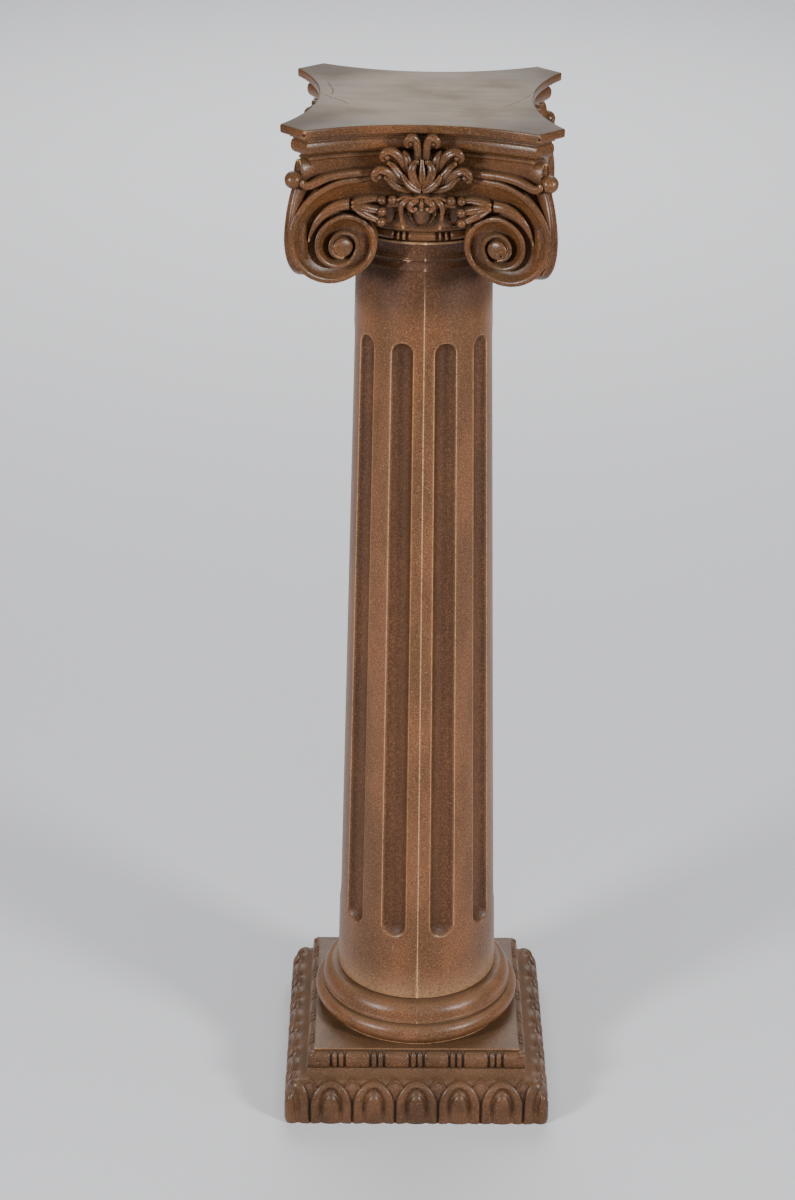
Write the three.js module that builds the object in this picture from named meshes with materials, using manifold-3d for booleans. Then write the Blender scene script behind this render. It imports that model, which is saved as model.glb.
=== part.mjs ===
// A pedestal column of cast resin, about a metre tall: a square plinth with a leaf course, a fluted round
// shaft with its base mouldings and neck ring, and a four-sided Ionic capital with volutes at its corners.
// Millimetres, +Z up, the origin on the ground under the middle, the front face towards -Y.
import * as THREE from "three";
import { mergeVertices } from "three/addons/utils/BufferGeometryUtils.js";
import Module from "manifold-3d";

const wasm = await Module();
wasm.setup();

// Driving dimensions
const TOTAL_HEIGHT = 1000;
const JOINT_GAP = 0.3; // the glue line between two castings

// Plinth
const PLINTH_HALF = 131.5; // half the width of the plinth at the ground
const PLINTH_TOP = 70.4;
const LEAF_PITCH = 42.4;
const LEAF_WIDTH = 40.6;
const LEAF_HEIGHT = 45;
const LEAVES_PER_SIDE = 5; // between the two corner leaves
const LEAF_RIM = 6.5;
const LEAF_GROOVE = 3.2;
const LEAF_TONGUE = 17;
const LEAF_SPRING = 21; // where the straight sides of a leaf turn into its round top
const LEAF_BEND = 26; // where the leaf course starts to lean in
const LEAF_LEAN = 8.5; // how far it has leaned in at its top
const LEAF_ROOT = 17; // how far behind the face a leaf's solid starts
const CORNER_SOFT = 5;
const SLOPE_LOW_Z = 43.5; // the hollow slope above the leaves
const SLOPE_LOW_HALF = 118.5;
const SLOPE_HOLLOW = [111.2, 46.6]; // half width and height of the middle of the slope
const SLOPE_TOP_Z = 51;
const BEAD_COURSE_HALF = 108;
const BEAD_COURSE_TOP = 69.2;
const BEAD_COURSE_SINK = 4; // the ground of the bead course behind the beads
const BEAD_ROOT = 6;
const BEAD_PITCH = 39.1;
const REEL_PAIR = 10.8; // two narrow reels side by side
const REEL_GAP = 1.6;
const SLAB_HALF = 101.7;

// Shaft
const SEAT_FILLET_R = 94.5;
const SEAT_FILLET_TOP = 73.3;
const TORUS = { middleR: 92.5, middleZ: 83.3, round: 9.8 };
const UPPER_FILLET_R = 95.6;
const UPPER_FILLET_Z = [94.5, 97.5];
const QUARTER_ROUND = { middleR: 82.7, middleZ: 97.6, wide: 11.7, high: 14.4 };
const BASE_TOP = 112.6;
const SHAFT_START_Z = 115;
const SHAFT_START_R = 79.4;
const SHAFT_END_Z = 861.5;
const SHAFT_END_R = 61.4;
const SHAFT_TOP = 889.6; // the flat top of the neck ring, where the capital sits
const NECK_PROFILE = [
  // radius and height, from the shaft up
  [64.8, 862],
  [63.2, 867.5],
  [63.4, 870.8],
  [66.8, 872.2],
  [66.8, 874],
  [65.2, 875.2],
  [66.5, 887.2],
  [69.5, 887.8],
  [69.5, SHAFT_TOP],
];
const FLUTES = 10;
const FLUTE_LOW_Z = 183;
const FLUTE_HIGH_Z = 794;
const FLUTE_SHARE = 0.52; // of the pitch between two flutes
const FLUTE_DEPTH = 5.4;
const FLUTE_END = 12.5; // the length over which a flute's end rounds off
const ROUND_SEGMENTS = 20;
const BELL_SEGMENTS = 16;

// Capital
const ABACUS_HORN = 119.8; // from the axis to the side tip of a horn
const HORN_CUT = 21.6; // both ways, across the corner
const ABACUS_HOLLOW = 26; // how far each side curves in
const SIDE_STEPS = 3;
const FACE_SETBACK = 7.6; // the volute faces stand this far behind the top edge
const CHANNEL_DEPTH = 7.5;
const EYE_X = 65.2;
const EYE_Z = 893.5;
const EYE_R = 9.5;
const TURN_RADII = [59.3, 28.5, 15, EYE_R]; // of the volute, at the start of each turn
const TURN_EASE = [200, 240, 240]; // degrees over which each turn closes in
const RIM_WIDTH = 6;
const VOLUTE_OUTER = 43; // from the eye to the outer edge of the rim
const VOLUTE_THICKNESS = 18;
const NECK_BEADS = 12;
const NECK_BEAD_R = 68;
const NECK_BEAD_Z = 895;
const BEAD_TURN = 10; // degrees from the middle of a bead to its end
const REEL_TURN = 3.6;
const EGG_PITCH = 360 / 16;
const CORNER_STRIP_OUT = 160; // along the diagonal
const CORNER_BALL = { place: 107.8, z: 951.5, round: 6.6 };
const BELL_PROFILE = [
  // radius and height, from the neck beads up into the square of the capital
  [NECK_BEAD_R - 0.6, SHAFT_TOP + JOINT_GAP],
  [NECK_BEAD_R - 0.6, 899.4],
  [72, 900.2],
  [79, 908],
  [87, 928],
];
const ABACUS_LEVELS = [
  // how far each moulding is drawn in from the top edge, and its height
  [20, 914],
  [18, 970],
  [14.4, 971],
  [8.2, 977.4],
  [8.2, 985],
  [7, 991.4],
  [0, 992.4],
  [0, TOTAL_HEIGHT],
];
const CAPITAL_TURN = -2.5; // degrees that the capital was glued out of line with the plinth

const DEG = Math.PI / 180;
const QUARTERS = [0, 90, 180, 270];

// Materials
const resin = (name, colour) =>
  Object.assign(new THREE.MeshStandardMaterial({ color: colour, roughness: 0.45, metalness: 0 }), { name });
const plinthResin = resin("plinth resin", 0x8a6248);
const shaftResin = resin("shaft resin", 0x8f674b);
const capitalResin = resin("capital resin", 0x84593c);

// A closed geometry as a solid that can be joined and cut
function solid(geometry) {
  const bare = geometry.clone();
  for (const name of Object.keys(bare.attributes)) if (name !== "position") bare.deleteAttribute(name);
  const merged = mergeVertices(bare, 1e-4);
  const made = new wasm.Manifold(
    new wasm.Mesh({
      numProp: 3,
      vertProperties: new Float32Array(merged.attributes.position.array),
      triVerts: new Uint32Array(merged.index.array),
    }),
  );
  return made;
}

const joined = (solids) => solids.reduce((all, next) => all.add(next));

function meshOf(made, name, material) {
  const found = made.getMesh();
  const positions = new Float32Array(found.numVert * 3);
  for (let i = 0; i < found.numVert; i++)
    positions.set(found.vertProperties.subarray(i * found.numProp, i * found.numProp + 3), i * 3);
  const geometry = new THREE.BufferGeometry();
  geometry.setAttribute("position", new THREE.BufferAttribute(positions, 3));
  geometry.setIndex(new THREE.BufferAttribute(new Uint32Array(found.triVerts), 1));
  geometry.computeVertexNormals();
  const mesh = new THREE.Mesh(geometry, material);
  mesh.name = name;
  return mesh;
}

// A solid skinned over closed rings of the same number of points, with flat ends. It turns its faces out by
// itself, so that a mirrored copy needs no care.
function loft(rings) {
  const count = rings[0].length;
  const positions = rings.flat().flatMap((p) => [p.x, p.y, p.z]);
  const faces = [];
  for (let k = 0; k + 1 < rings.length; k++)
    for (let i = 0; i < count; i++) {
      const a = k * count + i;
      const b = k * count + ((i + 1) % count);
      faces.push(a, b, b + count, a, b + count, a + count);
    }
  const cap = (ring, start, flip) => {
    const normal = ringNormal(ring);
    const across = new THREE.Vector3().subVectors(ring[1], ring[0]).normalize();
    const up = new THREE.Vector3().crossVectors(normal, across);
    const flat = ring.map((p) => new THREE.Vector2(p.dot(across), p.dot(up)));
    for (const [a, b, c] of THREE.ShapeUtils.triangulateShape(flat, []))
      faces.push(...(flip ? [start + a, start + c, start + b] : [start + a, start + b, start + c]));
  };
  cap(rings[0], 0, true);
  cap(rings.at(-1), (rings.length - 1) * count, false);
  let volume = 0;
  const at = (i) => new THREE.Vector3().fromArray(positions, i * 3);
  for (let i = 0; i < faces.length; i += 3)
    volume += at(faces[i]).dot(at(faces[i + 1]).cross(at(faces[i + 2])));
  if (volume < 0) faces.reverse();
  const geometry = new THREE.BufferGeometry();
  geometry.setAttribute("position", new THREE.Float32BufferAttribute(positions, 3));
  geometry.setIndex(faces);
  return geometry;
}

function ringNormal(ring) {
  const normal = new THREE.Vector3();
  ring.forEach((p, i) => normal.add(new THREE.Vector3().crossVectors(p, ring[(i + 1) % ring.length])));
  return normal.normalize();
}

const vec = (x, y, z) => new THREE.Vector3(x, y, z);
const xy = (x, y) => new THREE.Vector2(x, y);
const steps = (count) => Array.from({ length: count }, (_, i) => i);
const between = (from, to, count) => steps(count + 1).map((i) => from + ((to - from) * i) / count);
const aboutZ = (point, degrees) => point.applyAxisAngle(vec(0, 0, 1), degrees * DEG);
const turned = (geometry, degrees) => geometry.clone().rotateZ(degrees * DEG);
const fourSides = (geometry) => QUARTERS.map((angle) => solid(turned(geometry, angle)));

// A profile of [radius, height] pairs from the bottom up, closed at the axis and turned about Z
function lathe(profile, segments) {
  const closed = [[0, profile[0][1]], ...profile, [0, profile.at(-1)[1]]];
  const points = closed.map(([r, z]) => xy(r, z));
  return new THREE.LatheGeometry(points, segments).rotateX(90 * DEG);
}

// Points of an arc of an ellipse in a profile, from one angle to another
const arc = (cx, cz, rx, rz, from, to, count) =>
  between(from * DEG, to * DEG, count).map((a) => [cx + rx * Math.cos(a), cz + rz * Math.sin(a)]);

// A square ring of the plinth at one height
const square = (half, z) => QUARTERS.map((angle) => aboutZ(vec(-half, -half, z), angle));

// How far out the face of the leaves stands at a height
function leafOut(z) {
  return PLINTH_HALF - (LEAF_LEAN * Math.max(0, z - LEAF_BEND)) / (LEAF_HEIGHT - LEAF_BEND);
}

// Half the width of an arch at a height: straight sides below, a half ellipse above
function archHalf(width, height, z) {
  const above = Math.max(0, z - LEAF_SPRING) / (height - LEAF_SPRING);
  return (width / 2) * Math.sqrt(Math.max(0, 1 - above ** 2));
}

// The outline of an arch that stands on the ground, from its right foot over the top to its left foot
function archPoints(width, height, count) {
  const round = arc(0, LEAF_SPRING, width / 2, height - LEAF_SPRING, 0, 180, count).map(([x, y]) => xy(x, y));
  return [xy(width / 2, 0), ...round, xy(-width / 2, 0)];
}

// An outline drawn across and up, as a slab on the front of the plinth, from a plane inside it to its face
function slabOut(outline, x, back, outAt) {
  const geometry = new THREE.ExtrudeGeometry(new THREE.Shape(outline), { depth: 1, bevelEnabled: false });
  const p = geometry.attributes.position;
  for (let i = 0; i < p.count; i++) {
    const out = p.getZ(i) > 0.5 ? outAt(p.getY(i)) : back;
    p.setXYZ(i, p.getX(i) + x, -out, p.getY(i));
  }
  return geometry;
}

// One leaf: a raised rim round a sunk field, and a tongue that stands up in the field
function leaf(x) {
  const back = PLINTH_HALF - LEAF_ROOT;
  const outer = archPoints(LEAF_WIDTH, LEAF_HEIGHT, 5);
  const field = archPoints(LEAF_WIDTH - 2 * LEAF_RIM, LEAF_HEIGHT - LEAF_RIM, 4);
  const tongue = archPoints(LEAF_TONGUE, LEAF_HEIGHT - 2 * LEAF_RIM, 2);
  return [
    slabOut([...outer, ...field.reverse()], x, back, leafOut),
    slabOut(tongue, x, back, (z) => leafOut(z) - 0.3),
  ];
}

// A leaf that folds round the front right corner, as rings from the ground to its tip
function cornerLeaf(width, height, sink) {
  const rings = [0, LEAF_BEND, LEAF_HEIGHT - 0.6]
    .filter((z) => z < height)
    .map((z) => {
      const out = leafOut(z) - sink;
      const reach = Math.max(CORNER_SOFT + 1, archHalf(width, height, z));
      return [
        vec(out - reach, -out, z),
        vec(out - CORNER_SOFT, -out, z),
        vec(out, -out + CORNER_SOFT, z),
        vec(out, -out + reach, z),
        vec(out - reach, -out + reach, z),
      ];
    });
  return loft(rings);
}

// A low rounded moulding on the front, between two places across it: the long beads and the short reels
function beadAcross(from, to) {
  const back = BEAD_COURSE_HALF - BEAD_ROOT;
  const middle = (SLOPE_TOP_Z + BEAD_COURSE_TOP) / 2;
  const reach = (BEAD_COURSE_TOP - SLOPE_TOP_Z) / 2;
  const ring = (x) => [
    vec(x, -back, middle - reach),
    vec(x, -BEAD_COURSE_HALF, middle - reach * 0.6),
    vec(x, -BEAD_COURSE_HALF + 1.4, middle + reach * 0.6),
    vec(x, -back, middle + reach),
  ];
  return loft([ring(from), ring(to)]);
}

function plinth() {
  const core = solid(
    loft([
      ...[0, LEAF_BEND, SLOPE_LOW_Z].map((z) => square(leafOut(z) - LEAF_GROOVE, z)),
      square(SLOPE_LOW_HALF, SLOPE_LOW_Z + 0.3),
      square(...SLOPE_HOLLOW),
      square(BEAD_COURSE_HALF + 0.2, SLOPE_TOP_Z - 0.4),
      square(BEAD_COURSE_HALF - BEAD_COURSE_SINK, SLOPE_TOP_Z),
      square(BEAD_COURSE_HALF - BEAD_COURSE_SINK - 1, BEAD_COURSE_TOP),
      square(SLAB_HALF, BEAD_COURSE_TOP + 0.2),
      square(SLAB_HALF, PLINTH_TOP),
    ]),
  );
  const middle = (LEAVES_PER_SIDE - 1) / 2;
  const side = [];
  for (const i of steps(LEAVES_PER_SIDE)) side.push(...leaf((i - middle) * LEAF_PITCH));
  side.push(cornerLeaf(LEAF_TONGUE, LEAF_HEIGHT - 2 * LEAF_RIM, 0.4));

  const pairHalf = REEL_PAIR / 2 + REEL_GAP;
  const pairs = steps(LEAVES_PER_SIDE).map((i) => (i - middle) * BEAD_PITCH);
  for (const x of pairs) {
    side.push(beadAcross(x - REEL_PAIR / 2, x + REEL_PAIR / 2));
    if (x > pairs[0]) side.push(beadAcross(x - BEAD_PITCH + pairHalf, x - pairHalf));
  }
  side.push(beadAcross(pairs.at(-1) + pairHalf, BEAD_COURSE_HALF - 0.6));
  side.push(beadAcross(-BEAD_COURSE_HALF + 0.6, pairs[0] - pairHalf));

  const rims = QUARTERS.map((angle) =>
    solid(turned(cornerLeaf(LEAF_WIDTH, LEAF_HEIGHT, 0), angle)).subtract(
      solid(turned(cornerLeaf(LEAF_WIDTH - 2 * LEAF_RIM, LEAF_HEIGHT - LEAF_RIM, -0.8), angle)),
    ),
  );
  return joined([core, ...side.flatMap(fourSides), ...rims]);
}

const shaftRadius = (z) =>
  SHAFT_START_R + ((SHAFT_END_R - SHAFT_START_R) * (z - SHAFT_START_Z)) / (SHAFT_END_Z - SHAFT_START_Z);

// The shaft's outline at one height, with its flutes sunk in by a share of their full depth and width
function flutedRing(z, grow) {
  const r = shaftRadius(z);
  const half = (FLUTE_SHARE * 180 * Math.max(grow, 0.35)) / FLUTES;
  const onCircle = (angle, sunk) => aboutZ(vec(0, sunk - r, z), angle);
  const middles = steps(FLUTES).map((i) => ((i + 0.5) * 360) / FLUTES);
  return middles.flatMap((middle) => [
    onCircle(middle - half, 0),
    onCircle(middle - half * 0.55, FLUTE_DEPTH * grow * 0.9),
    onCircle(middle + half * 0.55, FLUTE_DEPTH * grow * 0.9),
    onCircle(middle + half, 0),
    onCircle(middle + 180 / FLUTES, 0),
  ]);
}

function shaft() {
  const base = [
    [SEAT_FILLET_R, PLINTH_TOP + JOINT_GAP],
    [SEAT_FILLET_R, SEAT_FILLET_TOP],
    ...arc(TORUS.middleR, TORUS.middleZ, TORUS.round, TORUS.round, -66, 70, 3),
    [UPPER_FILLET_R, UPPER_FILLET_Z[0]],
    [UPPER_FILLET_R, UPPER_FILLET_Z[1]],
    ...arc(QUARTER_ROUND.middleR, QUARTER_ROUND.middleZ, QUARTER_ROUND.wide, QUARTER_ROUND.high, 0, 80, 2),
    [SHAFT_START_R - 1.6, BASE_TOP],
  ];
  const neck = [[SHAFT_END_R - 1, SHAFT_END_Z], ...NECK_PROFILE];
  const ends = [0, 0.75, 1];
  const rise = (grow) => FLUTE_END * (1 - Math.sqrt(1 - grow ** 2));
  const body = loft([
    flutedRing(SHAFT_START_Z - 4, 0),
    ...ends.map((grow) => flutedRing(FLUTE_LOW_Z + rise(grow), grow)),
    ...ends.map((grow) => flutedRing(FLUTE_HIGH_Z - rise(grow), grow)).reverse(),
    flutedRing(SHAFT_END_Z + 2, 0),
  ]);
  return joined([solid(lathe(base, ROUND_SEGMENTS)), solid(body), solid(lathe(neck, ROUND_SEGMENTS))]);
}

const SIDE_HALF = ABACUS_HORN - HORN_CUT;
const SIDE_RADIUS = (SIDE_HALF ** 2 + ABACUS_HOLLOW ** 2) / (2 * ABACUS_HOLLOW);

// How far the front of the capital stands from the axis, at a place across it
function sideOut(x) {
  return ABACUS_HORN - ABACUS_HOLLOW + SIDE_RADIUS - Math.sqrt(SIDE_RADIUS ** 2 - x ** 2);
}

// The four-horned outline of the abacus, drawn in by an amount, at one height
function hornedRing(inset, z) {
  const corner = ABACUS_HORN + SIDE_HALF - inset * Math.SQRT2;
  let reach = SIDE_HALF;
  for (let i = 0; i < 20; i++) reach = corner - (sideOut(reach) - inset);
  const front = between(-reach, reach, SIDE_STEPS).map((x) => vec(x, inset - sideOut(x), z));
  return QUARTERS.flatMap((angle) => front.map((p) => aboutZ(p.clone(), angle)));
}

// The flat face of the volutes of the right half, which follows that curve
function voluteOut(x) {
  const near = EYE_X - TURN_RADII[1];
  const far = EYE_X + VOLUTE_OUTER;
  const slope = (sideOut(far) - sideOut(near)) / (far - near);
  return (sideOut(EYE_X) + sideOut(near) + slope * (EYE_X - near)) / 2 + slope * (x - EYE_X);
}

// A geometry drawn across (x), up (y) and out (z), laid on the front of the capital
function onFront(geometry, setback, outAt = sideOut) {
  const p = geometry.attributes.position;
  for (let i = 0; i < p.count; i++)
    p.setXYZ(i, p.getX(i), setback - p.getZ(i) - outAt(p.getX(i)), p.getY(i));
  return geometry;
}

// An outline on the front, from one setback behind the curve of the abacus to another
function relief(outline, back, front, outAt) {
  const shape = new THREE.Shape(outline);
  return onFront(new THREE.ExtrudeGeometry(shape, { depth: back - front, bevelEnabled: false }), back, outAt);
}

// The radius of the volute after a number of turns, from its top outwards and down
function voluteRadius(turns) {
  const k = Math.min(Math.floor(turns), TURN_RADII.length - 2);
  const share = Math.min(1, ((turns - k) * 360) / TURN_EASE[k]);
  return TURN_RADII[k] + (TURN_RADII[k + 1] - TURN_RADII[k]) * (1 - (1 - share) ** 1.2);
}

function volutePoint(turns, inwards = 0) {
  const angle = (90 - 360 * turns) * DEG;
  const r = voluteRadius(turns) - inwards;
  return xy(EYE_X + r * Math.cos(angle), EYE_Z + r * Math.sin(angle));
}

// The parts of the front right volute: its disc, the raised rim that winds in to the eye, and the eye
function volute() {
  const back = FACE_SETBACK + VOLUTE_THICKNESS;
  const floor = FACE_SETBACK + CHANNEL_DEPTH;
  const turns = [...between(0, 1, 10), ...between(1.17, 2, 5)];
  const top = EYE_Z + TURN_RADII[0];
  const channelRim = [xy(20, top + 4), xy(EYE_X, top), xy(EYE_X, top - RIM_WIDTH), xy(20, top)];
  const outside = turns.map((t) => volutePoint(t));
  const inside = turns.map((t) => volutePoint(t, RIM_WIDTH * (1 - 0.2 * t))).reverse();
  const disc = between(0, 1, 10).map((t) => volutePoint(t));
  const eye = between(0, 4 / 5, 4).map((t) =>
    xy(EYE_X + EYE_R * Math.cos(2 * Math.PI * t), EYE_Z + EYE_R * Math.sin(2 * Math.PI * t)),
  );
  return [
    relief(disc, back, floor, voluteOut),
    relief([...outside, ...inside], floor + 1, FACE_SETBACK, voluteOut),
    relief(eye, floor + 1, FACE_SETBACK - 1, voluteOut),
    relief(channelRim, floor + 2, FACE_SETBACK),
  ];
}

// A bent finger of leaf on the front: points of across, up, out and half width
function finger(points, setback) {
  const rings = points.map(([x, z, out, half], k) => {
    const [bx, bz] = points[Math.max(0, k - 1)];
    const [ax, az] = points[Math.min(points.length - 1, k + 1)];
    const along = xy(ax - bx, az - bz).normalize();
    return QUARTERS.map((a) => {
      const side = half * Math.cos(a * DEG);
      const proud = out + (a > 180 ? -4 : half * Math.sin(a * DEG));
      return vec(x - along.y * side, z + along.x * side, proud);
    });
  });
  return onFront(loft(rings), setback);
}

// Half of the ornament on the front: three curled lobes, and the husk and tongue on the volute
function ornament() {
  const lobes = [
    [[3.5, 946, 2, 3], [6, 986, 8, 6], [15, 987, 9, 4]],
    [[9, 944, 2, 3], [26, 975, 8, 6], [36, 975, 9, 4]],
    [[13, 941, 2, 3], [31, 957, 8, 6], [41, 957, 9, 4]],
  ];
  const husk = [[61, 931, 6, 3], [35, 925, 7, 13]];
  const tongue = [[62.5, 931.5, 7, 4.5], [82, 924, 6, 4], [93, 908, 4, 1.6]];
  return [
    ...lobes.map((points) => finger(points, FACE_SETBACK + 6)),
    finger(husk, FACE_SETBACK + CHANNEL_DEPTH),
    finger(tongue, FACE_SETBACK + CHANNEL_DEPTH),
  ];
}

// The brow of leaves that hangs over the eggs, across the whole front
function brow() {
  const outline = [xy(31, 929), xy(29, 939), xy(-29, 939), xy(-31, 929), xy(-8, 925), xy(8, 925)];
  return relief(outline, FACE_SETBACK + 20, FACE_SETBACK - 3);
}

// How far out along the diagonal the strip between two volutes stands, at a height
function cornerOut(z) {
  const fall = z < 905 ? (905 - z) / 30 : (z - 905) / 40;
  return CORNER_STRIP_OUT - 8 * fall ** 2;
}

// The strip that joins the two volutes of a corner, the ball that ends their scrolls, and the leaf above it
function corner() {
  const ring = (z) => {
    const out = cornerOut(z);
    const section = [[out, -7], [out, 7], [out - 7, 5], [out - 16, 0], [out - 7, -5]];
    return section.map(([along, aside]) => aboutZ(vec(along, aside, z), -45));
  };
  const strip = loft([875, 905, 950].map(ring));
  const { place, z: ballZ, round } = CORNER_BALL;
  const ball = new THREE.SphereGeometry(round, 6, 3).translate(place, -place, ballZ);
  const leafRing = (z, out, half) => {
    const section = [[out, -half], [out + 2, 0], [out, half], [out - 14, half], [out - 14, -half]];
    return section.map(([along, aside]) => aboutZ(vec(along, aside, z), -45));
  };
  const tip = loft([leafRing(948, 146, 6), leafRing(971, 141, 3)]);
  return [strip, ball, tip];
}

const mirrorAcross = (geometry) => {
  const flipped = geometry.clone().scale(-1, 1, 1);
  if (!flipped.index) flipped.setIndex([...Array(flipped.attributes.position.count).keys()]);
  const index = flipped.index.array;
  for (let i = 0; i < index.length; i += 3) [index[i], index[i + 1]] = [index[i + 1], index[i]];
  return flipped;
};

// The bead course under the eggs: a long bead at each front, and pairs of reels between the long ones
function neckBeads() {
  const section = [[-2, 4.2], [3.2, 1.8], [3.2, -1.8], [-2, -4.2]];
  const ring = (angle) =>
    section.map(([out, up]) => aboutZ(vec(0, -NECK_BEAD_R - out, NECK_BEAD_Z + up), angle));
  const pitch = 360 / NECK_BEADS;
  const all = [];
  for (let i = 0; i < NECK_BEADS; i++) {
    const at = pitch * i;
    all.push(loft([ring(at - BEAD_TURN), ring(at + BEAD_TURN)]));
    const hidden = (at + pitch / 2) % 90 === 45; // behind the corner volutes
    if (!hidden) all.push(loft([ring(at + pitch / 2 - REEL_TURN), ring(at + pitch / 2 + REEL_TURN)]));
  }
  return all;
}

// The eggs above the beads, three to a side
function eggs() {
  const ring = (z, out, proud, half) => [
    vec(-half, -out, z),
    vec(-half * 0.6, -out - proud, z),
    vec(half * 0.6, -out - proud, z),
    vec(half, -out, z),
  ];
  const egg = loft([ring(905, 74, 6, 5), ring(926, 82, 8, 12)]);
  return QUARTERS.flatMap((angle) => [-1, 0, 1].map((k) => turned(egg, angle + k * EGG_PITCH)));
}

function capital() {
  const abacus = loft(ABACUS_LEVELS.map(([inset, z]) => hornedRing(inset, z)));
  const half = [...volute(), ...ornament()];
  const side = [...half, ...half.map(mirrorAcross), brow(), ...corner()];
  const round = [lathe(BELL_PROFILE, BELL_SEGMENTS), ...neckBeads(), ...eggs()];
  return joined([solid(abacus), ...round.map(solid), ...side.flatMap(fourSides)]);
}

const group = new THREE.Group();
const pieces = [
  meshOf(plinth(), "plinth", plinthResin),
  meshOf(shaft(), "shaft", shaftResin),
  meshOf(capital(), "capital", capitalResin),
];
for (const piece of pieces) group.add(piece);
group.getObjectByName("capital").rotation.z = CAPITAL_TURN * DEG;

export default group;
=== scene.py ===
# %% [markdown]
# # A pedestal column of cast resin
# The real thing is three hollow castings glued on top of each other: a square plinth with a course of
# leaves, a fluted shaft with its base mouldings and neck ring, and a four-sided capital with volutes at its
# corners. Each was poured into a rubber mould, stained brown like old wood and rubbed back, so the stain
# stays in the hollows and wears off the edges. The shapes here are written in millimetres, as formulas and
# loops, and turned into metres in one place, when a mesh is made.

# %% Load the frame
import math
from collections import Counter

import bmesh
import bpy
import numpy as np
from mathutils import Matrix, Vector
from mathutils.bvhtree import BVHTree


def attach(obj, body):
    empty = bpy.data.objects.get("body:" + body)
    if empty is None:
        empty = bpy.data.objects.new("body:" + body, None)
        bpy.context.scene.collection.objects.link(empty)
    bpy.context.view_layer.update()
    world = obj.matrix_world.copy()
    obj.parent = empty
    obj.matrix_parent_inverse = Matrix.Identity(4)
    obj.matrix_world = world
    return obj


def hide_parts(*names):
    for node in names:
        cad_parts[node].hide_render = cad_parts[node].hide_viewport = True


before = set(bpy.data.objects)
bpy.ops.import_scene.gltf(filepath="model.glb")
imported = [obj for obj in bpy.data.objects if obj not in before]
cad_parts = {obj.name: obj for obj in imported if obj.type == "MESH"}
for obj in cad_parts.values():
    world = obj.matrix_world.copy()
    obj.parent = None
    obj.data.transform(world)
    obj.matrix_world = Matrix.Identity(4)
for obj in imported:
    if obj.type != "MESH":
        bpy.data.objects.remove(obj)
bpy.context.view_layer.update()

# %% [markdown]
# ## The camera
# The photo was taken by someone standing about two metres away, who looked down at the column a little. The
# camera comes first, because the whole comparison with the photo hangs on it. Its place was worked out from
# the corners of the plinth and of the abacus, so the lens, the height and the tilt belong together.

# %% Camera
CAMERA_PLACE = (-0.0320, -2.2299, 1.5635)
CAMERA_TURN, CAMERA_TILT, CAMERA_ROLL = 0.262, 25.202, 0.413  # degrees: to the right, down, about its axis
FRAME_WIDTH, FRAME_HEIGHT = 795, 1200
FOCAL_PIXELS = 2583.0
SENSOR = 36.0

camera_data = bpy.data.cameras.new("camera")
camera_data.sensor_width = SENSOR
camera_data.lens = FOCAL_PIXELS / max(FRAME_WIDTH, FRAME_HEIGHT) * SENSOR
camera = bpy.data.objects.new("camera", camera_data)
bpy.context.scene.collection.objects.link(camera)
turn, tilt, roll = (math.radians(a) for a in (CAMERA_TURN, CAMERA_TILT, CAMERA_ROLL))
camera.matrix_world = (
    Matrix.Translation(CAMERA_PLACE)
    @ Matrix.Rotation(-turn, 4, "Z")
    @ Matrix.Rotation(math.pi / 2 - tilt, 4, "X")
    @ Matrix.Rotation(roll, 4, "Z")
)
bpy.context.scene.camera = camera
print("lens in mm:", round(camera_data.lens, 2))

# %% [markdown]
# ## From rings to solids
# Nearly every form on a column is a ring that changes as it travels: a moulding is a profile carried round a
# circle or a square, a volute is a profile carried along a spiral, and a leaf is a nest of arches. So one
# helper skins a stack of rings. Here a solid is a pair: its points, and its faces as lists of point numbers.

# %% Helpers that make solids
MM = 0.001
QUARTERS = (0, 90, 180, 270)  # degrees


def grid_faces(index):
    """The quads between the rows and the columns of a grid of point numbers."""
    return np.stack([index[:-1, :-1], index[:-1, 1:], index[1:, 1:], index[1:, :-1]], -1).reshape(-1, 4)


def skin(rings):
    """A closed solid over a stack of rings, each with the same number of points."""
    rings = np.asarray(rings, float)
    index = np.arange(rings.shape[0] * rings.shape[1]).reshape(rings.shape[:2])
    faces = grid_faces(np.c_[index, index[:, 0]]).tolist()
    faces += [index[0, ::-1].tolist(), index[-1].tolist()]
    return rings.reshape(-1, 3), faces


def folded_slab(front, back):
    """A closed solid between two grids of points. The last row of each grid runs up a line and back down it,
    so the two halves of that row share their points."""
    rows, columns = front.shape[:2]
    index = np.arange(rows * columns).reshape(rows, columns)
    index[-1, columns // 2 + 1 :] = index[-1, columns // 2 - 1 :: -1]
    behind = index + rows * columns
    edge = np.concatenate([index[0, :-1], index[:-1, -1], index[-1, -1:], index[-2:0:-1, 0]])
    ahead = np.roll(edge, -1)
    rim = np.stack([edge, edge + rows * columns, ahead + rows * columns, ahead], -1)
    quads = np.concatenate([grid_faces(index), grid_faces(behind)[:, [0, 3, 2, 1]], rim])
    return np.concatenate([front.reshape(-1, 3), back.reshape(-1, 3)]), quads.tolist()


def outward(solid):
    """The same solid with its faces turned out."""
    points, faces = solid
    fans = np.array([(face[0], face[k], face[k + 1]) for face in faces for k in range(1, len(face) - 1)])
    first, second, third = (points[fans[:, k]] for k in range(3))
    volume = (first * np.cross(second, third)).sum()
    return (points, faces) if volume > 0 else (points, [face[::-1] for face in faces])


def moved(solid, change):
    """A solid with a function applied to its points, turned out again in case the function mirrors it."""
    return outward((change(solid[0]), solid[1]))


def turned(points, degrees):
    c, s = math.cos(math.radians(degrees)), math.sin(math.radians(degrees))
    return np.asarray(points) @ np.array([[c, s, 0], [-s, c, 0], [0, 0, 1]])


def mirrored(points):
    return np.asarray(points) * [-1, 1, 1]


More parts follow.
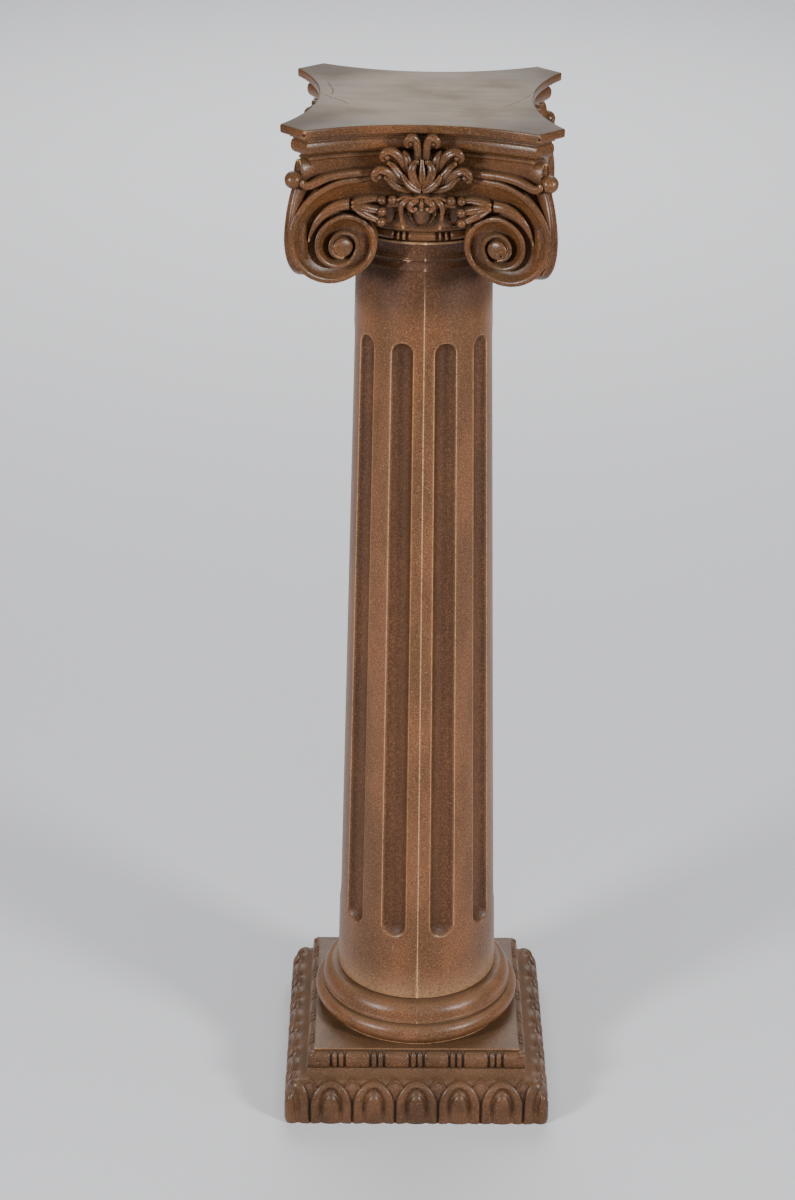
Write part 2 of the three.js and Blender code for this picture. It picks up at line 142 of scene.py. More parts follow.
def copies(solids, angles=QUARTERS):
    """Each of the solids, turned about the axis of the column to each of the angles."""
    return [(turned(points, angle), faces) for points, faces in solids for angle in angles]


def round_axis(radius, angle, height):
    """Points by the distance from the axis, the angle from the front in radians, and the height."""
    return np.stack([radius * np.sin(angle), -radius * np.cos(angle), height + 0 * angle], axis=-1)


# %% [markdown]
# Each form becomes a closed solid of its own, and Blender's boolean joins them into one casting. That leaves
# a crisp crease where two forms meet, as a mould does. Solids that don't touch each other can go into one
# object, so a whole course of leaves takes one join.

# %% Helpers that make and join meshes
def object_from(name, points, faces):
    mesh = bpy.data.meshes.new(name)
    mesh.from_pydata((np.asarray(points) * MM).tolist(), [], faces)
    mesh.validate()
    made = bpy.data.objects.new(name, mesh)
    bpy.context.scene.collection.objects.link(made)
    return made


def gathered(name, solids):
    """One object that holds several solids that don't touch each other."""
    points, faces, start = [], [], 0
    for found in solids:
        found = outward(found)
        points.append(found[0])
        faces += [[start + i for i in face] for face in found[1]]
        start += len(found[0])
    return object_from(name, np.concatenate(points), faces)


def worked(body, solids, operation):
    """Joins solids to an object, or cuts them out of it. The solids must not touch each other."""
    tool = gathered("tool", solids)
    change = body.modifiers.new("change", "BOOLEAN")
    change.operation, change.solver, change.object = operation, "MANIFOLD", tool
    mesh = bpy.data.meshes.new_from_object(body.evaluated_get(bpy.context.evaluated_depsgraph_get()))
    body.modifiers.clear()
    old, body.data = body.data, mesh
    bpy.data.meshes.remove(old)
    bpy.data.objects.remove(tool)
    mesh.name = body.name


def united(name, groups):
    """One object from groups of solids. The solids inside a group must not touch each other."""
    body = gathered(name, groups[0])
    for group in groups[1:]:
        worked(body, group, "UNION")
    print(name, "faces after joining:", len(body.data.polygons))
    return body


# %% [markdown]
# ## Profiles with soft corners
# A mould never gives a perfectly sharp corner, and the light catches the small round that is left. A coarse
# profile is written down first, and then every corner is replaced by a short curve.

# %% Helpers that draw profiles
BEND_LEFT_ALONE = math.cos(math.radians(22))  # a smaller bend is a step of a curve, not a corner


def arc(middle, radii, start, end, steps):
    angles = np.radians(np.linspace(start, end, steps + 1))
    return [(middle[0] + radii[0] * math.cos(a), middle[1] + radii[1] * math.sin(a)) for a in angles]


def softened(points, radius=0.5, steps=3):
    """Rounds the corners of an open outline. A corner between close points gets a smaller round."""
    points = np.asarray(points, float)
    made = [points[0]]
    for before, corner, after in zip(points[:-2], points[1:-1], points[2:]):
        back, ahead = before - corner, after - corner
        bend = -back @ ahead / (np.linalg.norm(back) * np.linalg.norm(ahead))
        if bend > BEND_LEFT_ALONE:
            made.append(corner)
            continue
        reach = min(radius, np.linalg.norm(back) * 0.45, np.linalg.norm(ahead) * 0.45)
        start = corner + back / np.linalg.norm(back) * reach
        end = corner + ahead / np.linalg.norm(ahead) * reach
        for share in np.linspace(0, 1, steps):
            made.append((1 - share) ** 2 * start + 2 * share * (1 - share) * corner + share**2 * end)
    made.append(points[-1])
    return np.array(made)


def spaced(points, longest):
    """Adds points along an open outline so that no step is longer than a given length."""
    made = [np.asarray(points[0], float)]
    for before, after in zip(points[:-1], points[1:]):
        before, after = np.asarray(before, float), np.asarray(after, float)
        steps = max(1, math.ceil(np.linalg.norm(after - before) / longest))
        made += [before + (after - before) * k / steps for k in range(1, steps + 1)]
    return np.array(made)


def ease(share):
    """A smooth rise from 0 to 1."""
    share = np.clip(share, 0, 1)
    return share * share * (3 - 2 * share)


# %% [markdown]
# ## The shaft
# The shaft is turned, so it is one grid: rows follow the profile from the glue line to the neck ring, and
# columns go round. The flutes are pressed into the grid by a formula instead of being cut, so their edges
# can be soft. The columns crowd together at the edges of the flutes, and the rows at their round ends. A
# thin raised seam runs down the front and the back, where the two halves of the mould met.

# %% Shaft: its profile
JOINT_GAP = 0.3
PLINTH_TOP = 70.4
SHAFT_LOW, SHAFT_HIGH = (79.4, 115.0), (61.4, 861.5)  # radius and height of the ends of the tapering part
SHAFT_TOP = 889.6
TORUS_MIDDLE, TORUS_ROUND = (92.5, 83.3), 9.8
SHAFT_STEP = 2.5  # longest step along the mouldings

base_profile = [
    (90.0, PLINTH_TOP + JOINT_GAP), (94.5, PLINTH_TOP + JOINT_GAP), (94.5, 73.0), (95.0, 73.6),
    *arc(TORUS_MIDDLE, (TORUS_ROUND, TORUS_ROUND), -68, 66, 20),
    (93.0, 92.9), (92.6, 94.8), (95.4, 95.2), (95.4, 97.2), (94.6, 97.5),
    *arc((82.7, 97.5), (11.6, 14.6), 4, 80, 16),
    (81.4, 112.0), (77.2, 112.5), (77.2, 114.2), SHAFT_LOW,
]
neck_profile = [
    SHAFT_HIGH, (64.9, 861.9), (64.7, 863.6), (63.3, 867.2), (63.1, 870.4), (65.0, 870.8),
    *arc((65.4, 873.0), (1.7, 1.9), -60, 60, 5),
    (65.0, 875.0), (64.8, 880.0), (66.4, 887.0), (69.5, 887.4), (69.5, SHAFT_TOP), (66.0, SHAFT_TOP),
]


def shaft_radius(height):
    share = (height - SHAFT_LOW[1]) / (SHAFT_HIGH[1] - SHAFT_LOW[1])
    return SHAFT_LOW[0] + (SHAFT_HIGH[0] - SHAFT_LOW[0]) * share


FLUTE_ENDS = (183.0, 794.0)

# rows by the distance inwards from the end of a flute, close together where its round end curves most
end_rows = np.concatenate([[-30, -8, -2.5], np.linspace(-1, 5, 13), np.linspace(6, 14, 9)])
middle_rows = np.linspace(230, 750, 14)
heights = np.concatenate([FLUTE_ENDS[0] + end_rows, middle_rows, (FLUTE_ENDS[1] - end_rows)[::-1]])
shaft_profile = np.concatenate(
    [
        spaced(softened(base_profile), SHAFT_STEP),
        np.stack([shaft_radius(heights), heights], axis=1),
        spaced(softened(neck_profile), SHAFT_STEP),
    ]
)
print("rows of the shaft:", len(shaft_profile))

# %% Shaft: flutes, seam and mesh
FLUTES = 10
PITCH = 360 / FLUTES
FLUTE_HALF = 9.4  # degrees from the middle of a flute to its edge
FLUTE_DEPTH = 7.2
FLUTE_SOFT = 0.16  # the round that is left along the edge
FLUTE_MARGIN = 12.0  # no flute reaches further than this past its end
SEAM_HALF = 0.45  # half the width of the seam
SEAM_PROUD = 0.28
SEAM_FOOT = 1.6  # the seam fades out at this many times its half width
LIP_WIDTH = 0.6  # the seam stops this far below the top face

flute_shares = [0.0, 0.25, 0.5, 0.7, 0.85, 0.93, 0.965, 0.985, 1.0, 1.015, 1.035, 1.08, 1.4]
flute_steps = np.array(flute_shares) * FLUTE_HALF
offsets = np.concatenate([-flute_steps, flute_steps, [PITCH / 2, 15.6, -15.6]])
middles = (np.arange(FLUTES) + 0.5) * PITCH
seam_steps = np.degrees(np.array([-SEAM_FOOT, -1.0, -0.6, 0.6, 1.0, SEAM_FOOT]) * SEAM_HALF / 75)
columns = np.concatenate([(middles[:, None] + offsets).ravel(), seam_steps, 180 + seam_steps]) % 360
columns = np.unique(columns.round(4) % 360)


def flute_sink(off, height):
    """How deep a flute sinks the surface, at an angle from its middle and at a height."""
    radius = shaft_radius(height)
    half = radius * math.sin(math.radians(FLUTE_HALF))
    across = radius * np.sin(np.radians(off))
    beyond = np.maximum(FLUTE_ENDS[0] + half - height, 0) + np.maximum(height - FLUTE_ENDS[1] + half, 0)
    bowl = (half**2 + FLUTE_DEPTH**2) / (2 * FLUTE_DEPTH)
    reach = np.minimum(np.hypot(across, beyond), 0.99 * bowl)
    sink = np.sqrt(bowl**2 - reach**2) - (bowl - FLUTE_DEPTH)
    return (sink + np.sqrt(sink**2 + FLUTE_SOFT**2)) / 2


radii, angles = np.meshgrid(shaft_profile[:, 0], columns, indexing="ij")
levels = np.repeat(shaft_profile[:, 1:2], len(columns), axis=1)
fluted = (levels > FLUTE_ENDS[0] - FLUTE_MARGIN) & (levels < FLUTE_ENDS[1] + FLUTE_MARGIN)
radii = radii - np.where(fluted, flute_sink(angles % PITCH - PITCH / 2, levels), 0)
from_seam = np.abs(radii * np.sin(np.radians(angles))) / (SEAM_FOOT * SEAM_HALF)
seamed = (radii > 55) & (levels > 73) & (levels < SHAFT_TOP - LIP_WIDTH)
radii = radii + np.where(seamed, SEAM_PROUD * np.clip(1 - from_seam**2, 0, 1), 0)
shaft = gathered("shaft_casting", [skin(round_axis(radii, np.radians(angles), levels))])
print("shaft faces:", len(shaft.data.polygons))

# %% [markdown]
# ## The plinth
# The leaf course is the plinth's main carving: upright leaves side by side, and one folded round each
# corner. A leaf is a nest of arches, so its grid runs along the arches: the rim, the groove inside it and the
# tongue in the middle are only different depths on different arches. The leaf on the corner is the same
# sheet, bent round a small radius. Behind the gaps between the leaves the tips of a second row show.

# %% Plinth: leaves
PLINTH_HALF = 131.5
LEAN, LEAN_START, LEAN_HEIGHT = 8.5, 21.0, 24.0  # how far the leaves lean in, from where, over what height
FOOT_ROUND, FOOT_HEIGHT = 1.1, 3.0
LEAF_PITCH = 42.4
LEAF_HALF, LEAF_HEIGHT, LEAF_SPRING = 20.3, 45.0, 21.0  # the arch of a leaf springs at this height
CORNER_LEAF_HALF = 22.9
CORNER_ROUND = 8.0
LEAF_SINK_BACK = 9.0
LEAVES_PER_SIDE = 5
ARCH_STEPS = 19
FAN_HALF, FAN_HEIGHT, FAN_SPRING = 8.4, 45.4, 37.0
FAN_PLACES = [-106.6, -63.6, -21.2, 21.2, 63.6, 106.6]

# distance in from the edge of the leaf, and how far the surface sinks behind its face
leaf_section = [
    (-0.3, LEAF_SINK_BACK), (0.0, 3.4), (0.15, 2.0), (0.6, 1.1), (1.4, 0.6), (2.8, 0.3), (4.6, 0.4),
    (6.2, 0.8), (7.4, 1.5), (8.4, 2.6), (9.2, 3.8), (10.0, 4.6), (10.8, 4.8), (11.6, 4.2), (12.3, 3.0),
    (13.0, 1.8), (14.0, 0.9), (15.5, 0.4), (17.5, 0.1), (20.2, 0.0),
]
# distance in from the edge, and how much lower the top of that arch lies
LEAF_DROP = ([0.0, 5.0, 8.5, 12.5, 14.0, 20.2], [0.0, 4.0, 6.0, 12.4, 14.4, 23.0])
GROOVE = (6.5, 13.5)  # the groove lies between these distances from the edge, and fades out downwards
fan_section = [
    (-0.3, 8.0), (0.0, 4.6), (0.3, 3.0), (0.9, 2.4), (1.8, 2.6), (2.8, 3.6), (4.0, 4.0), (6.0, 3.9),
    (8.0, 3.9),
]


def plinth_out(height):
    """How far out the face of the leaf course stands: upright, rounded over at its top, soft at its foot."""
    lean = LEAN * np.clip((height - LEAN_START) / LEAN_HEIGHT, 0, 1.1) ** 2
    foot = FOOT_ROUND * np.clip(1 - height / FOOT_HEIGHT, 0, 1) ** 2
    return PLINTH_HALF - lean - foot


def nested_arches(half, height, section, spring_height):
    """A grid of places across, heights and sinks: one row for each arch of the section."""
    along = np.linspace(0, math.pi, ARCH_STEPS)
    rows = []
    for inward, sink in section:
        width = half * (1 - inward / section[-1][0]) if inward > 11 else half - inward
        width = max(width, 0.05) if inward < section[-1][0] else 0.0
        top = height - np.interp(inward, *LEAF_DROP)
        spring = min(spring_height, top - 3)
        point = 1.0 + 0.45 * ease((inward - 6) / 5)
        across = [np.full(4, width), width * np.cos(along), np.full(4, -width)]
        foot = np.linspace(0, spring, 4, endpoint=False)
        up = [foot, spring + (top - spring) * np.sin(along) ** point, foot[::-1]]
        across, up = np.concatenate(across), np.concatenate(up)
        shallow = 0.45 + 0.55 * ease((up - 2) / 18) if GROOVE[0] < inward < GROOVE[1] else 1.0
        rows.append(np.stack([across, up, sink * shallow * np.ones_like(up)], axis=-1))
    return np.array(rows)


def on_side(grid, middle):
    """Stands a grid on the front face."""
    across, up, sink = grid[..., 0], grid[..., 1], grid[..., 2]
    return np.stack([middle + across, -(plinth_out(up) - sink), up], axis=-1)


def round_corner(grid):
    """Bends a grid round the front right corner."""
    across, up, sink = grid[..., 0], grid[..., 1], grid[..., 2]
    quarter = CORNER_ROUND * math.pi / 4
    bent = np.clip(across, -quarter, quarter)
    angle = bent / CORNER_ROUND - math.pi / 4
    beyond = across - bent
    middle = plinth_out(up) - CORNER_ROUND
    radius = CORNER_ROUND - np.minimum(sink, CORNER_ROUND - 0.5)
    x = middle + radius * np.cos(angle) - beyond * np.sin(angle)
    y = -middle + radius * np.sin(angle) + beyond * np.cos(angle)
    return np.stack([x, y, up], axis=-1)


def arch_solid(half, height, section, spring, place):
    front = nested_arches(half, height, section, spring)
    back = front.copy()
    back[..., 2] = section[0][1]
    return folded_slab(place(front), place(back))


leaves = []
for at in (np.arange(LEAVES_PER_SIDE) - (LEAVES_PER_SIDE - 1) / 2) * LEAF_PITCH:
    leaf = arch_solid(LEAF_HALF, LEAF_HEIGHT, leaf_section, LEAF_SPRING, lambda grid: on_side(grid, at))
    leaves.append(leaf)
leaves.append(arch_solid(CORNER_LEAF_HALF, LEAF_HEIGHT, leaf_section, LEAF_SPRING, round_corner))
fans = []
for at in FAN_PLACES:
    fans.append(arch_solid(FAN_HALF, FAN_HEIGHT, fan_section, FAN_SPRING, lambda grid: on_side(grid, at)))
print("leaves and fans on a side:", len(leaves), len(fans))

# %% [markdown]
# The rest of the plinth is a profile carried round a square with mitred corners: the ground of the leaf
# course, a hollow slope, the recess of the bead course and the thin slab that the shaft stands on. The bead
# course above the slope is a row of long beads with two thin reels between them.

# %% Plinth: body and beads
SLAB_HALF = 101.7
LEAF_GROUND_TOP = 44.0
GROUND_CORNER, SLAB_CORNER = 4.5, 1.2  # rounds of the upright corners, below and above the leaf course
BEAD_PITCH = 39.1
BEAD_ROW_HALF = 107.6
BEAD_LOW, BEAD_HIGH = 51.0, 67.7
REEL_WIDTH, REEL_GAP, BEAD_GAP = 4.7, 1.7, 2.3

body_profile = [
    (0.5, 0.0), (126.4, 0.0), (127.3, 1.5), (127.3, 21.0), (125.8, 31.0), (122.6, 38.5), (119.4, 43.4),
    (118.6, 44.3), (113.6, 46.2), (110.2, 48.4), (108.4, 50.6), (108.0, 51.2), (105.9, 51.4), (106.1, 56.0),
    (105.6, 60.5), (104.0, 64.6), (101.6, 66.9), (100.3, 67.5), (100.3, 68.3), (SLAB_HALF, 68.5),
    (SLAB_HALF, PLINTH_TOP - 0.5), (SLAB_HALF - 0.5, PLINTH_TOP), (84.0, PLINTH_TOP), (0.5, PLINTH_TOP),
]
bead_section = [
    (100.0, 60.0), (103.0, BEAD_LOW), (107.3, BEAD_LOW), (108.2, 52.2), (108.6, 55.5), (108.4, 59.5),
    (107.6, 62.8), (106.2, 65.4), (104.6, 66.9), (102.8, BEAD_HIGH), (101.0, BEAD_HIGH),
]


def square_ring(half, height, soft, steps=30):
    """A square with small round corners, as points round it."""
    soft = min(soft, half * 0.8)
    straight = np.linspace(-(half - soft), half - soft, steps)
    side = np.stack([straight, np.full(steps, -half)], axis=-1)
    bend = np.radians(np.linspace(-90, 0, 6)[1:-1])
    corner = np.stack([half - soft + soft * np.cos(bend), -(half - soft) + soft * np.sin(bend)], axis=-1)
    quarter = np.concatenate([side, corner])
    quarter = np.c_[quarter, np.full(len(quarter), height)]
    return np.concatenate([turned(quarter, angle) for angle in QUARTERS])


def plinth_body():
    rings = []
    for half, height in spaced(softened(body_profile), 6):
        rings.append(square_ring(half, height, GROUND_CORNER if height < LEAF_GROUND_TOP else SLAB_CORNER))
    return skin(rings)


def bar(start, end, section, round_end, shrink):
    """A moulding along X with round ends. The section is a list of distances out and heights."""
    section = np.array(section)
    heart = section.mean(axis=0)
    share = np.radians(np.linspace(0, 90, 6))
    into = round_end * (1 - np.cos(share))
    grow = 1 - shrink * (1 - np.sin(share))
    places = np.concatenate([start + into, (end - into)[::-1]])
    rings = []
    for x, size in zip(places, np.concatenate([grow, grow[::-1]])):
        points = heart + (section - heart) * size
        rings.append(np.stack([np.full(len(points), x), -points[:, 0], points[:, 1]], axis=-1))
    return skin(rings)


def plinth_beads():
    """The beads and reels of one side."""
    soft_section = softened(bead_section + bead_section[:1], 0.4, 2)[:-1]
    half_pair = REEL_WIDTH + REEL_GAP / 2 + BEAD_GAP
    pairs = (np.arange(LEAVES_PER_SIDE) - 2) * BEAD_PITCH
    ends = np.concatenate([[-BEAD_ROW_HALF - half_pair], pairs, [BEAD_ROW_HALF + half_pair]])
    side = [bar(a + half_pair, b - half_pair, soft_section, 3.0, 0.32) for a, b in zip(ends[:-1], ends[1:])]
    for x in pairs:
        for start in (x - REEL_GAP / 2 - REEL_WIDTH, x + REEL_GAP / 2):
            side.append(bar(start, start + REEL_WIDTH, soft_section, REEL_WIDTH / 2, 0.3))
    return side


beads = plinth_beads()
plinth = united(
    "plinth_casting",
    [[plinth_body()], copies(leaves), copies(fans), copies(beads, (0, 180)), copies(beads, (90, 270))],
)

# %% [markdown]
# ## The capital: its square and its core
# Each side of the capital curves in between two horns, so its outline is four circular arcs joined by short
# straight cuts. Every moulding under the top follows that same outline, drawn in by an amount that the
# profile gives. One formula for the outline then carries the mouldings, the volutes and the ornament.

# %% Capital: outline, mouldings and bell
ABACUS_HORN = 119.8
HORN_CUT = 21.6
ABACUS_HOLLOW = 26.0
SIDE_HALF = ABACUS_HORN - HORN_CUT
SIDE_RADIUS = (SIDE_HALF**2 + ABACUS_HOLLOW**2) / (2 * ABACUS_HOLLOW)
TOTAL_HEIGHT = 1000.0
CAPITAL_START = SHAFT_TOP + JOINT_GAP

# distance in from the outline of the top, and height
abacus_profile = [
    (22.0, 912.0), (20.0, 914.0), (17.4, 940.0), (15.8, 962.0), (15.2, 969.6), (13.6, 970.2), (13.3, 972.4),
    (14.6, 973.0), (14.4, 973.8), (12.4, 974.8), (10.0, 975.8), (8.4, 977.6), (7.5, 980.2), (7.4, 983.2),
    (8.0, 985.9), (9.5, 987.5), (9.3, 988.5), (7.0, 989.1), (6.6, 991.8), (1.2, 992.3), (0.2, 993.0),
    (0.0, 996.0), (0.0, 999.2), (0.7, TOTAL_HEIGHT), (9.0, TOTAL_HEIGHT),
]


def side_out(x):
    """How far the top edge of the front stands from the axis, at a place across it."""
    return ABACUS_HORN - ABACUS_HOLLOW + SIDE_RADIUS - np.sqrt(SIDE_RADIUS**2 - np.asarray(x, float) ** 2)


def horned_ring(inset, height, steps=40, cut_steps=5):
    """The outline of the top, drawn in by an inset. Where a side meets its cut is found by trial."""
    corner = ABACUS_HORN + SIDE_HALF - inset * math.sqrt(2)
    reach = SIDE_HALF
    for _ in range(20):
        reach = corner - (side_out(reach) - inset)
    across = np.linspace(-reach, reach, steps + 1)
    side = np.stack([across, inset - side_out(across), np.full(steps + 1, height)], axis=-1)
    other = turned(side[:1], 90)
    cut = side[-1:] + (other - side[-1:]) * (np.arange(1, cut_steps) / cut_steps)[:, None]
    quarter = np.concatenate([side, cut])
    return np.concatenate([turned(quarter, angle) for angle in QUARTERS])


bell_profile = [
    (0.5, CAPITAL_START), (67.0, CAPITAL_START), (67.4, 890.6), (67.2, 899.2), (71.6, 899.7), (73.0, 901.6),
    (74.0, 908.0), (76.0, 916.0), (80.0, 930.0), (80.0, 936.0), (0.5, 936.0),
]
bell_angles = np.radians(np.arange(120) * 360 / 120)

abacus = skin([horned_ring(inset, height) for inset, height in spaced(softened(abacus_profile, 0.4), 5)])
bell = skin([round_axis(radius, bell_angles, height) for radius, height in spaced(softened(bell_profile), 4)])
print("width between the hollow sides in mm:", 2 * (ABACUS_HORN - ABACUS_HOLLOW))

# %% [markdown]
# The bead course under the eggs is the small brother of the one on the plinth, bent round a circle. The eggs
# behind the ornament are pressed into a grid of angles and heights, as the flutes are.

# %% Capital: neck beads and eggs
NECK_BEADS = 12
NECK_BEAD_R, NECK_BEAD_Z, NECK_BEAD_ROUND = 69.2, 895.2, 4.1
# a bead and the two reels after it: start and end in degrees, length of the round end, and thickness
NECK_PARTS = [(-10.2, 10.2, 2.0, 1.0), (11.2, 14.4, 1.55, 1.05), (15.6, 18.8, 1.55, 1.05)]
EGGS = 16
EGG_LOW, EGG_TOP = 904.6, 930.0
EGG_HALF = 13.4
EGG_ROW_RADIUS = 78.0
EGG_PROUD, FRAME_PROUD, DART_PROUD = 5.6, 4.6, 3.0
EGG_STEPS = 352


def neck_bead(start, end, round_end, fat):
    """A bead that runs round the neck from one angle to another, in degrees."""
    share = np.radians(np.linspace(0, 90, 5))
    into = round_end * (1 - np.cos(share))
    sizes = fat * np.concatenate([np.sin(share).clip(0.15), np.sin(share).clip(0.15)[::-1]])
    places = np.radians(np.concatenate([start + into, (end - into)[::-1]]))
    ring_angles = np.radians(np.arange(14) * 360 / 14)
    rings = []
    for place, size in zip(places, sizes):
        radius = NECK_BEAD_R + NECK_BEAD_ROUND * size * np.cos(ring_angles)
        height = NECK_BEAD_Z + NECK_BEAD_ROUND * min(size, 1.0) * np.sin(ring_angles)
        rings.append(round_axis(radius, place, height))
    return skin(rings)


neck_beads = []
for at in np.arange(NECK_BEADS) * 360 / NECK_BEADS:
    neck_beads += [neck_bead(at + start, at + end, *ends) for start, end, *ends in NECK_PARTS]


def egg_relief(across, height):
    """How far the egg course stands out at a distance from the middle of an egg and at a height."""
    rise = np.clip((height - EGG_LOW) / (EGG_TOP - EGG_LOW), 0, 1)
    half = EGG_HALF * np.sqrt(1 - (1 - rise) ** 2)
    share = np.abs(across) / np.maximum(half, 0.1)
    egg = EGG_PROUD * np.sqrt(np.clip(1 - (share / 0.7) ** 2, 0, 1)) * ease((height - EGG_LOW - 2) / 4)
    from_frame = (np.abs(across) - half + 1.2) / 1.3
    frame_edge = FRAME_PROUD * np.exp(-(from_frame**2)) * ease((height - EGG_LOW) / 2)
    from_dart = (math.pi * EGG_ROW_RADIUS / EGGS - np.abs(across)) / 1.2
    dart = DART_PROUD * np.exp(-(from_dart**2)) * ease((height - EGG_LOW - 3) / 4)
    return np.maximum(np.maximum(egg, frame_edge), dart)


egg_angles = np.arange(EGG_STEPS) * 360 / EGG_STEPS
egg_heights = np.concatenate([[902.0, 903.4, 904.4], np.linspace(905, 929, 18), [EGG_TOP]])
egg_base = 74.5 + 9.0 * ease((egg_heights - 902) / 30) - 3 * np.clip(1 - (egg_heights - 902) / 2.4, 0, 1)
spread, upward = np.meshgrid(egg_angles, egg_heights)
off_egg = np.radians((spread + 180 / EGGS) % (360 / EGGS) - 180 / EGGS) * EGG_ROW_RADIUS
egg_radius = egg_base[:, None] + egg_relief(off_egg, upward)
egg_radius[0] = egg_radius[-1] = 70.0
egg_course = skin(round_axis(egg_radius, np.radians(spread), upward))
print("neck beads and reels:", len(neck_beads), "eggs:", EGGS)

# %% [markdown]
# ## The volutes
# A volute is a ribbon that winds in. Its section, from the outer edge inwards, is a round rim and then a
# hollow channel that gets deepest beside the next turn. Each row of the grid is one such section, and the
# last point of a section is the first point of the section one turn later, so the ribbon is welded to itself
# and makes one sheet without a seam. The same ribbon runs on straight towards the middle of the face.

# %% Capital: volutes
EYE_X, EYE_Z = 65.2, 893.5
TURN_RADII = [60.0, 29.0, 14.2, 9.6, 8.6]  # of the outer edge, at the start of each turn
TURN_EASE = [200, 240, 240, 300]  # degrees over which each turn closes in
TURN_CURVE = [1.15, 0.95, 1.2, 1.2]  # above one, a turn closes in faster at its start
TURNS = 2.5
TURN_STEPS, STRAIGHT_STEPS = 56, 12
FACE_SETBACK = 7.6
RIM_WIDTH = 6.2
RIM_TAPER = 0.2  # the rim loses this share of its width with each turn
CHANNEL_DEPTH = 7.5
CHANNEL_RISE = 4.5  # the straight channel is wider by this in the middle of the face
EYE_FORWARD = 2.0
VOLUTE_OUTER = 43.0
VOLUTE_THICK = 18.0


def volute_radius(turns):
    whole = np.minimum(np.floor(turns), len(TURN_RADII) - 2).astype(int)
    share = np.minimum(1, (turns - whole) * 360 / np.take(TURN_EASE, whole))
    start, end = np.take(TURN_RADII, whole), np.take(TURN_RADII, whole + 1)
    return start + (end - start) * (1 - (1 - share) ** np.take(TURN_CURVE, whole))


def volute_out(x):
    """The face of the volutes: nearly flat at a volute, and bent like the top edge near the middle."""
    x = np.abs(x)
    near, far = EYE_X - TURN_RADII[1], EYE_X + VOLUTE_OUTER
    slope = (side_out(far) - side_out(near)) / (far - near)
    flat = (side_out(EYE_X) + side_out(near) + slope * (EYE_X - near)) / 2 + slope * (x - EYE_X)
    return side_out(x) + (flat - side_out(x)) * ease((x - 30) / 24)


def on_front(across, height, proud):
    """Points on the front of the capital. Proud is measured from the face of the volute rims."""
    across = np.asarray(across, float)
    return np.stack([across, FACE_SETBACK - volute_out(across) - proud, height + 0 * across], axis=-1)


def channel_closed(turns):
    """How far the bottom of the channel has come up to the eye after some turns, from 0 to 1."""
    return ease((turns - 1.45) / 0.95)


def ribbon_section(turns, width):
    """Distances in from the outer edge, and depths, of the section of the ribbon after some turns."""
    rim = RIM_WIDTH * (1 - RIM_TAPER * turns)
    forward = EYE_FORWARD * ease((turns - 0.7) / 1.3)
    closed = channel_closed(turns)
    depth = CHANNEL_DEPTH * (1 - closed) - forward * closed
    foot = 4 + (CHANNEL_DEPTH - 4) * ease((turns - 0.8) / 0.2)
    if turns >= 1:
        foot = CHANNEL_DEPTH * (1 - channel_closed(turns - 1))
    lip = [(0.06, 1.6), (0.35, 0.7), (1.0, 0.15), (1.9, -0.1)]
    lip += [(rim - 2.2, -0.1), (rim - 1.2, 0.2), (rim - 0.5, 0.8), (rim, 1.9)]
    section = [(0.0, foot)] + [(inward, sink - forward) for inward, sink in lip]
    start = section[-1][1]
    for share in np.linspace(0, 1, 9)[1:]:
        bowl = math.sin(share * math.pi / 2) ** 0.8
        section.append((rim + (width - rim) * share, start + (depth - start) * bowl))
    return np.array(section)


def volute():
    """The front right volute with its straight channel, as one closed solid."""
    points = []
    for x in np.linspace(0.0, EYE_X, STRAIGHT_STEPS, endpoint=False):
        rise = CHANNEL_RISE * ease((EYE_X - x) / 50)
        section = ribbon_section(0, TURN_RADII[0] - TURN_RADII[1] + rise)
        up = EYE_Z + TURN_RADII[0] + rise - section[:, 0]
        points.append(on_front(np.full(len(section), x), up, -section[:, 1]))
    for step in range(int(TURNS * TURN_STEPS) + 1):
        turns = step / TURN_STEPS
        outer, inner = float(volute_radius(turns)), float(volute_radius(turns + 1))
        section = ribbon_section(turns, outer - inner)
        angle, radius = math.radians(90 - 360 * turns), outer - section[:, 0]
        across, up = EYE_X + radius * math.cos(angle), EYE_Z + radius * math.sin(angle)
        points.append(on_front(across, up, -section[:, 1]))
    points = np.array(points)
    rows, count = points.shape[:2]
    index = np.arange(rows * count).reshape(rows, count)
    index[STRAIGHT_STEPS : rows - TURN_STEPS, -1] = index[STRAIGHT_STEPS + TURN_STEPS :, 0]
    faces = grid_faces(index).tolist()
    eye = np.concatenate([index[rows - TURN_STEPS - 1 :, -1], index[-1, -2:0:-1]])
    faces.append(eye[::-1].tolist())
    outside = index[: STRAIGHT_STEPS + TURN_STEPS + 1, 0]
    edge = np.concatenate([outside, index[STRAIGHT_STEPS - 1 :: -1, -1], index[0, -2:0:-1]])
    points = points.reshape(-1, 3)
    back = on_front(points[edge, 0], points[edge, 2], -VOLUTE_THICK)
    behind = np.arange(len(edge)) + len(points)
    points = np.concatenate([points, back])
    faces += np.stack([edge, np.roll(edge, -1), np.roll(behind, -1), behind], -1).tolist()
    faces.append(behind.tolist())
    used, packed = np.unique(np.concatenate([np.ravel(face) for face in faces]), return_inverse=True)
    sizes = np.cumsum([len(face) for face in faces])[:-1]
    return points[used], [part.tolist() for part in np.split(packed, sizes)]


# %% [markdown]
# The eye in the middle of a volute is a low dome. It is a ball like the rolled tips of the leaves further on,
# only flatter, so one helper makes both. The left volute was modelled by hand a little further out than the
# right one, and the photo shows it.

# %% Capital: eyes, and the pairs of volutes
EYE_DOME = (1.4, 8.3, 0.32)  # how proud the middle of its ball is, its radius, and how much it is flattened
LEFT_SHIFT, RIGHT_SHIFT = -1.8, 0.4


